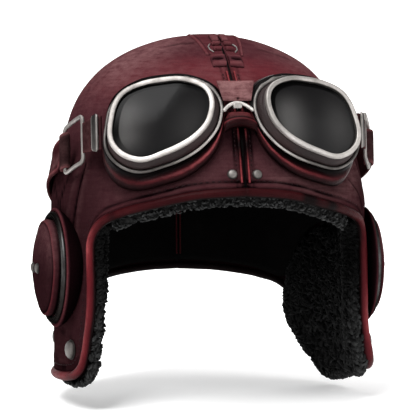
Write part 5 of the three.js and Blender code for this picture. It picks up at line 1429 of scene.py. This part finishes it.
def strap_point(side, run, across, out):
    """Beside the goggles: run goes from the frame back to the crown, across is up, out is away from the head."""
    start, way = strap_line()
    run, across, out = np.broadcast_arrays(np.asarray(run, float), np.asarray(across, float),
        np.asarray(out, float))
    x = start[0] + run * way[0] + out * way[1]
    y = start[1] + run * way[1] - out * way[0]
    z = BRIM_LEVEL + STRAP_RISE - STRAP_SAG * run * run + across
    aside = share(GOGGLES_ASIDE, STRAP_ASIDE, np.minimum(run / LOOP_START, 1))
    point = settled(np.stack([side * x, y, z], -1), 0)
    point[..., 0] += aside
    return point


def strap_metal(side, word):
    """Tab, slide bar, wire loop and rolled sleeve beside one lens."""
    run = np.linspace(1.2, 23.6, 40)[:, None]
    edge = rounded_loop([(-1, 1), (1, 1), (1, -1), (-1, -1)], 5, 0.12)
    narrow = 1 - 0.08 * smooth(14, 22, run)
    sections = strap_point(side, run, edge[None, :, 0] * 10 * narrow, edge[None, :, 1] * 0.8)
    rim = smooth(0.8, 1, np.abs(edge[:, 0]))[None]
    # Painted red highlight along the tab's edges; painted shade over it.
    tab = patch(sections, wear_and_highlight=0.12 + 0.2 * rim + 0 * run, red=0.35 * rim + 0.1 + 0 * run,
        shade=0.35 + 0 * run * rim)
    made(f"goggle_tab_{word}", [tab], STRAP_LEATHER, [f"strap_tab_{word}"])

    end = np.linspace(-1, 1, 25)[:, None]
    half = 11.4
    fat = np.sqrt(np.clip(1 - np.abs(end) ** 12, 0.01, 1))
    box = rounded_loop([(-1, 1), (1, 1), (1, -1), (-1, -1)], 5, 0.3)
    dish = 0.35 * (1 - np.abs(box[:, 0]))[None] * (box[:, 1] > 0)[None]
    sections = strap_point(side, 5.5 + box[None, :, 0] * 3.5 * fat, end * half,
        0.8 + 0.3 + 0.95 * (1 + box[None, :, 1]) * fat - dish)
    lip = smooth(0.55, 0.95, np.abs(box[:, 0]))[None]
    # Painted highlight on the bar's lips; painted shade over the rest, heavier towards its upper end.
    bar = patch(sections, wear_and_highlight=0.3 * lip + 0 * end, shade=0.62 * (1 - lip) + 0.3 + 0.1 * end)
    made(f"buckle_bar_{word}", [bar], STEEL, [f"slide_bar_{word}"])

    corner, steps = 3.0, 10
    turns = np.concatenate([np.linspace(s, s + 90, steps) for s in (0, 90, 180, 270)])
    mid_run = np.repeat([1, -1, -1, 1], steps) * (LOOP_LENGTH / 2 - corner)
    mid_up = np.repeat([1, 1, -1, -1], steps) * (LOOP_HEIGHT / 2 - corner)
    ring_run = mid_run + corner * np.cos(np.radians(turns))
    ring_up = mid_up + corner * np.sin(np.radians(turns))
    line = resampled(np.stack([np.append(ring_run, ring_run[0]), np.append(ring_up, ring_up[0]),
        np.zeros(4 * steps + 1)], 1), 0.8)[:-1]
    path = strap_point(side, LOOP_START + LOOP_LENGTH / 2 + line[:, 0], line[:, 1], 0 * line[:, 0])
    out_way = unit(strap_point(side, 30, 0, 1) - strap_point(side, 30, 0, 0))
    wire = patch(tube(path, LOOP_WIRE * 1.02, out_way, 14, flat=0.9, around=True), around=True, wear_and_highlight=0.15,
        shade=0.3)
    made(f"strap_ring_{word}", [wire], STEEL, [f"strap_loop_{word}"])

    inside, wall = LOOP_WIRE + 0.45, 1.7
    half = LOOP_HEIGHT / 2 - 3.2
    angle = np.linspace(0, 2 * np.pi, 40, endpoint=False)[:, None]
    lip = rounded_loop([(0, 1), (1, 1), (1, -1), (0, -1)], 5, 0.2)
    radius = inside + wall * lip[None, :, 0]
    sections = strap_point(side, LOOP_START + LOOP_LENGTH + radius * np.cos(angle), lip[None, :, 1] * half,
        radius * np.sin(angle))
    rim = smooth(0.75, 1, np.abs(lip[:, 1]))[None] + 0 * angle
    # Painted red highlight on the sleeve's lips; painted shade between them.
    sleeve = patch(sections, around=True, wear_and_highlight=np.clip(0.25 + 0.3 * rim, 0, 1), red=0.75 * rim,
        shade=0.55 * (1 - rim))
    made(f"strap_roll_{word}", [sleeve], STRAP_LEATHER, [f"strap_sleeve_{word}"])


def goggle_strap():
    """Leather band round the back: a rounded flat section carried along the crown at its stand, waving a little."""
    count = 260
    turn = np.linspace(-(180 - 74), 180 - 74, count) + 180
    folded_turn = np.where(turn > 180, 360 - turn, turn)
    way = np.where(turn > 180, -1, 1)
    rise = CROWN_HEIGHT * along(STRAP[:, 0], STRAP[:, 2], folded_turn)
    stand = STRAP_STAND * along(STRAP[:, 0], STRAP[:, 1], folded_turn)
    drop = CROWN_HEIGHT - rise
    outward = leather_normal(way * folded_turn, drop)
    middle = leather_point(way * folded_turn, drop)
    middle[:, 0] += way * SEAM_HALF_GAP
    middle = middle + outward * stand[:, None]
    rounds = unit(np.cross(np.array([0, 0, 1.0]), outward))
    up = unit(np.cross(outward, rounds))
    up = up * np.sign(up[:, 2:])
    ridge = rounded_loop([(-1, 1), (-0.86, 1.25), (-0.72, 0.85), (0.72, 0.85), (0.86, 1.25), (1, 1),
        (1, -1), (-1, -1)], 4, 0.3)
    wave = 0.5 * lumps(middle, 24, 131) + 0.2 * lumps(middle, 8, 132)
    wide = STRAP_WIDTH / 2 * (1 + 0.02 * lumps(middle, 15, 133))
    sections = middle[:, None] + up[:, None] * (ridge[None, :, 0] * wide[:, None])[..., None]
    sections = sections + outward[:, None] * (ridge[None, :, 1] * STRAP_WALL / 2 + wave[:, None] * 0.6)[...,
        None]
    aside = STRAP_ASIDE * (1 - smooth(74, 98, folded_turn))
    sections = settled(sections, 0) + np.stack([aside, 0 * aside, 0 * aside], -1)[:, None]
    rim = bump(np.abs(ridge[:, 0]), 0.88, 0.1)[None] * (ridge[:, 1] > 0)[None]
    blotch = smooth(-0.3, 0.7, lumps(sections, 7, 134)) * smooth(-0.5, 0.5, lumps(sections, 3, 135))
    band = patch(sections, wear_and_highlight=np.clip(0.5 * blotch + 0.4 * rim, 0, 1),
        red=np.clip(0.9 * rim + 0.2, 0, 1) + 0 * blotch,
                 shade=np.clip(0.5 * (1 - blotch) * (1 - rim) * 0.6, 0, 1))
    made("strap_band", [band], STRAP_LEATHER, ["goggle_strap"])


for word, side in SIDES.items():
    strap_metal(side, word)
goggle_strap()


# Crest fitting

CREST_FRONT, CREST_BACK, CREST_HALF_WIDTH, CREST_WALL = 50, 8, 16, 0.4
CREST = np.array([(0, 0.75), (0.25, 0.9), (0.55, 1), (0.85, 0.86), (1, 0.62)])


def crest_point(x, y, off):
    """Point over the crown at an x and y, found by halving the drop between the top and the brim."""
    x, y, off = np.broadcast_arrays(np.asarray(x, float), np.asarray(y, float), np.asarray(off, float))
    high, low = np.zeros(x.shape), np.full(x.shape, float(CROWN_HEIGHT))
    for _ in range(34):
        middle = (high + low) / 2
        side, front, back = crown_section(middle)
        depth = np.where(y < 0, front, back)
        wide = np.hypot(x / side, y / depth) > 1
        high, low = np.where(wide, middle, high), np.where(wide, low, middle)
    side, front, back = crown_section(low)
    depth = np.where(y < 0, front, back)
    return crown_point(np.degrees(np.arctan2(x / side, -y / depth)), low, off)


def crest_strip(side, x_of, y_of, thick_of, rows, columns, low=0.3):
    """Raised strip on the crown: its outline from two functions, its top from a third, its foot near the leather."""
    a = np.linspace(0, 1, rows + 1)[:, None]
    b = np.linspace(0, 1, columns + 1)[None]
    x, y = np.broadcast_arrays(x_of(a, b), y_of(a, b))
    top = crest_point(side * x, y, low + thick_of(a, b))
    foot = crest_point(side * x, y, low - 0.5 + 0 * x)
    return np.concatenate([top, foot[:, ::-1]], 1)


def crest(side, word):
    """Patch with raised edges, lacing bars, a tab, the keeper with a shallow slot painted dark, and the ring arc of
    one side.
    """
    near = SEAM_HALF_GAP + 0.4
    rows, columns = 90, 26
    edge_rise = lambda b: 0.3 * bump(b, 0.93, 0.06)
    width = lambda a: CREST_HALF_WIDTH * along(CREST[:, 0], CREST[:, 1], a)
    sections = crest_strip(
        side, lambda a, b: share(near, width(a), b), lambda a, b: share(-CREST_FRONT, CREST_BACK, a) + 0 * b,
        lambda a, b: (CREST_WALL * np.sqrt(np.clip(np.minimum(1 - b, np.minimum(a, 1 - a) * 8) * 16, 0.05,
            1)) + edge_rise(b)),
        rows, columns, low=0.2)
    b = np.linspace(0, 1, columns + 1)[None]
    a = np.linspace(0, 1, rows + 1)[:, None]
    rim = bump(b, 0.92, 0.07) + 0 * a
    lay = lambda value: np.clip(np.concatenate([value, value[:, ::-1]], 1), 0, 1)
    # Painted shade in a line just inside the raised edge.
    patches = [patch(sections, wear_and_highlight=lay(0.2 + 0.4 * rim + 0.35 * smooth(0.4, 0.9, a)),
        red=lay(0.4 + 0.4 * rim),
                     shade=lay(0.5 * bump(b, 0.8, 0.04) + 0 * a))]
    for middle_y in (-45.7, -39.9):
        half = 1.25
        bar = crest_strip(
            side, lambda a, b: share(near + 0.3, 6.4, a) + 0 * b, lambda a,
                b: share(middle_y - half, middle_y + half, b) + 0 * a,
            lambda a, b: 1.2 + 1.5 * np.sqrt(np.clip(1 - (2 * b - 1) ** 2, 0.02,
                1)) * np.sqrt(np.clip((1 - a) * 6, 0.1, 1)),
            14, 10, low=0.6)
        patches.append(patch(bar, wear_and_highlight=0.4, red=0.65))
    tab = crest_strip(
        side, lambda a, b: share(near, 5.4, b), lambda a, b: share(-36, -25, a) + 0 * b,
        lambda a, b: 1.4 + 1.1 * np.sqrt(np.clip(np.minimum(a, 1 - a) * 6, 0.03,
            1)) * np.sqrt(np.clip((1 - b) * 7, 0.03, 1)),
        20, 12, low=0.6)
    patches.append(patch(tab, wear_and_highlight=0.55, red=0.6))
    made(f"crest_leather_{word}", patches, LEATHER, [f"crest_patch_{word}"])

    back, length, half_width = -CREST_FRONT - 0.6, 9.6, 10.2
    front = back - length
    a, b = np.linspace(0, 1, 41)[:, None], np.linspace(0, 1, 31)[None]
    taper = 0.11 * np.sqrt(np.clip(1 - ((a - 0.52) / 0.4) ** 2, 0, 1))
    slot = smooth(taper + 0.05, taper - 0.03, np.abs(b - 0.5)) * (taper > 0.02)
    border = np.minimum(np.minimum(b, 1 - b) * 5, (1 - a) * 5)
    keeper = crest_strip(
        side, lambda a, b: share(near, half_width - 0.6 * (2 * b - 1) ** 2, a), lambda a,
            b: share(front, back, b) + 0 * a,
        lambda a, b: 2.0 * np.sqrt(np.clip(border, 0.04, 1)) * (1 - 0.6 * slot), 40, 30, low=0.25)
    bars = np.clip(bump(b, 0.15, 0.12) + bump(b, 0.85, 0.12), 0, 1) + 0 * a
    lay = lambda value: np.clip(np.concatenate([value, value[:, ::-1]], 1), 0, 1)
    # The slot is a shallow groove, painted nearly black as painted shade for its opening.
    made(f"crest_loop_{word}", [patch(keeper, wear_and_highlight=lay(0.5 * bars + 0.1), red=lay(0.75 * bars + 0.1),
        shade=lay(0.9 * slot))],
         LEATHER, [f"crest_keeper_{word}"])

    t = np.linspace(0, 1, 40)
    arc_x = np.interp(t, [0, 0.3, 0.7, 1], [7.0, 8.9, 9.1, 7.4])
    arc_y = -CREST_FRONT * np.interp(t, [0, 0.3, 0.7, 1], [0.965, 0.91, 0.84, 0.785])
    path = crest_point(side * arc_x, arc_y, 0.2 + CREST_WALL + 0.45 + 0 * t)
    hint = unit(np.stack([0 * t, -0.5 + 0 * t, 1 + 0 * t], -1))
    made(f"crest_wire_{word}", [patch(capped(tube(path, 0.42, hint, 10)), wear_and_highlight=0.3, shade=0.5)], STEEL,
        [f"crest_ring_{word}"])


for word, side in SIDES.items():
    crest(side, word)


# Stitching, one piece a side

THREAD = worn_leather(
    "dark_thread", (0.004, 0.002, 0.0025, 1), (0.009, 0.003, 0.004, 1), (0.02, 0.005, 0.006, 1), (0.03,
        0.014, 0.015, 1), grain=0.5,
    gloss=0.05)
for word in SIDES:
    made(f"seam_stitches_{word}", threads[word], THREAD)
made("seam_gap_shade_strip", channel, THREAD)


# Studio: pale floor that sweeps up all round, soft lights, and the camera

def studio_floor():
    """A wide pale dish: level in the middle, then curving up to a wall all round."""
    profile = np.array([(0, 0), (900, 0), (1500, 0), (1900, 40), (2300, 180), (2600, 440), (2750, 800),
        (2800, 1300)], float)
    profile = rounded(profile, 6, 0.45)
    material, tree, shader, place = started("pale_floor")
    tint = ranged(tree, noise(tree, place, 2.0, 2), 0.3, 0.7)
    tree.links.new(blended(tree, tint, (0.78, 0.78, 0.78, 1), (0.8, 0.8, 0.8, 1)),
        shader.inputs["Base Color"])
    shader.inputs["Roughness"].default_value = 0.9
    shader.inputs["Specular IOR Level"].default_value = 0.1
    ahead = added(tree, "ShaderNodeVectorMath", {"operation": "DOT_PRODUCT"}, i0=place,
        i1=(0.216, 0.976, 0)).outputs["Value"]
    aside = added(tree, "ShaderNodeVectorMath", {"operation": "DOT_PRODUCT"}, i0=place,
        i1=(0.976, -0.216, 0)).outputs["Value"]
    aside = added(tree, "ShaderNodeMath", {"operation": "ABSOLUTE"}, i0=aside).outputs[0]
    # Painted light: the floor glows, brightest in the sector behind the helmet that the camera sees and fainter to
    # the sides and in front, so that the backdrop looks lit white.
    glow = times(tree, ranged(tree, ahead, -0.25, 0.7, 0.12, 1.0), ranged(tree, aside, 0.45, 1.2, 1.0, 0.12))
    shader.inputs["Emission Color"].default_value = (1, 1, 1, 1)
    tree.links.new(times(tree, glow, 0.95), shader.inputs["Emission Strength"])
    angle = np.linspace(0, 2 * np.pi, 96, endpoint=False)[:, None]
    points = np.stack([profile[None, :, 0] * np.cos(angle), profile[None, :, 0] * np.sin(angle),
        profile[None, :, 1] - 233 + 0 * angle], -1)
    i, j = np.meshgrid(np.arange(96), np.arange(len(profile) - 1), indexing="ij")
    wide = len(profile)
    faces = np.stack([i * wide + j, i * wide + j + 1, ((i + 1) % 96) * wide + j + 1,
        ((i + 1) % 96) * wide + j], -1)
    mesh = bpy.data.meshes.new("studio_floor")
    mesh.from_pydata((points.reshape(-1, 3) * MM).tolist(), [], faces.reshape(-1, 4)[:, ::-1].tolist())
    work = bmesh.new()
    work.from_mesh(mesh)
    bmesh.ops.remove_doubles(work, verts=work.verts, dist=1e-6)
    bmesh.ops.recalc_face_normals(work, faces=work.faces)
    work.to_mesh(mesh)
    work.free()
    mesh.polygons.foreach_set("use_smooth", np.ones(len(mesh.polygons), bool))
    mesh.materials.append(material)
    item = bpy.data.objects.new("studio_floor", mesh)
    bpy.context.scene.collection.objects.link(item)


def soft_light(name, place, aim, width, height, power, colour=(1, 1, 1)):
    """A rectangular lamp that faces its aim point."""
    lamp = bpy.data.lights.new(name, "AREA")
    lamp.shape = "RECTANGLE"
    lamp.size, lamp.size_y, lamp.energy, lamp.color = width, height, power, colour
    item = bpy.data.objects.new(name, lamp)
    bpy.context.scene.collection.objects.link(item)
    ahead = unit(np.array(aim, float) - np.array(place, float))
    aside = unit(np.cross(ahead, [0, 0, 1.0]))
    up = np.cross(aside, ahead)
    item.matrix_world = Matrix([[aside[k], up[k], -ahead[k], place[k]] for k in range(3)] + [[0, 0, 0, 1]])
    item.visible_camera = False


studio_floor()
middle = (0, 0, -0.1)
soft_light("key_light", (-0.75, -0.95, 1.25), middle, 0.8, 0.8, 38.0)
soft_light("top_light", (0.1, 0.0, 1.35), middle, 1.2, 1.1, 9.5)
soft_light("fill_light", (1.25, -1.0, 0.35), middle, 0.9, 0.9, 8.5)
soft_light("back_light", (0.5, 1.5, 0.8), middle, 1.2, 0.8, 14.0)

world = bpy.data.worlds.new("studio_air")
world.use_nodes = True
world.node_tree.nodes["Background"].inputs[0].default_value = (1, 1, 1, 1)
world.node_tree.nodes["Background"].inputs[1].default_value = 0.08
bpy.context.scene.world = world
bpy.context.scene.view_settings.view_transform = "Standard"
bpy.context.scene.view_settings.look = "None"

camera = bpy.data.cameras.new("camera")
camera.lens, camera.sensor_width = 115.7, 36
camera.shift_x, camera.shift_y = 0.0055, -0.0524
camera.clip_start, camera.clip_end = 0.05, 20
viewer = bpy.data.objects.new("camera", camera)
bpy.context.scene.collection.objects.link(viewer)
viewer.location = (-0.1948, -0.8787, -0.0949)
viewer.rotation_euler = (math.pi / 2, 0, math.radians(-12.5))
bpy.context.scene.camera = viewer
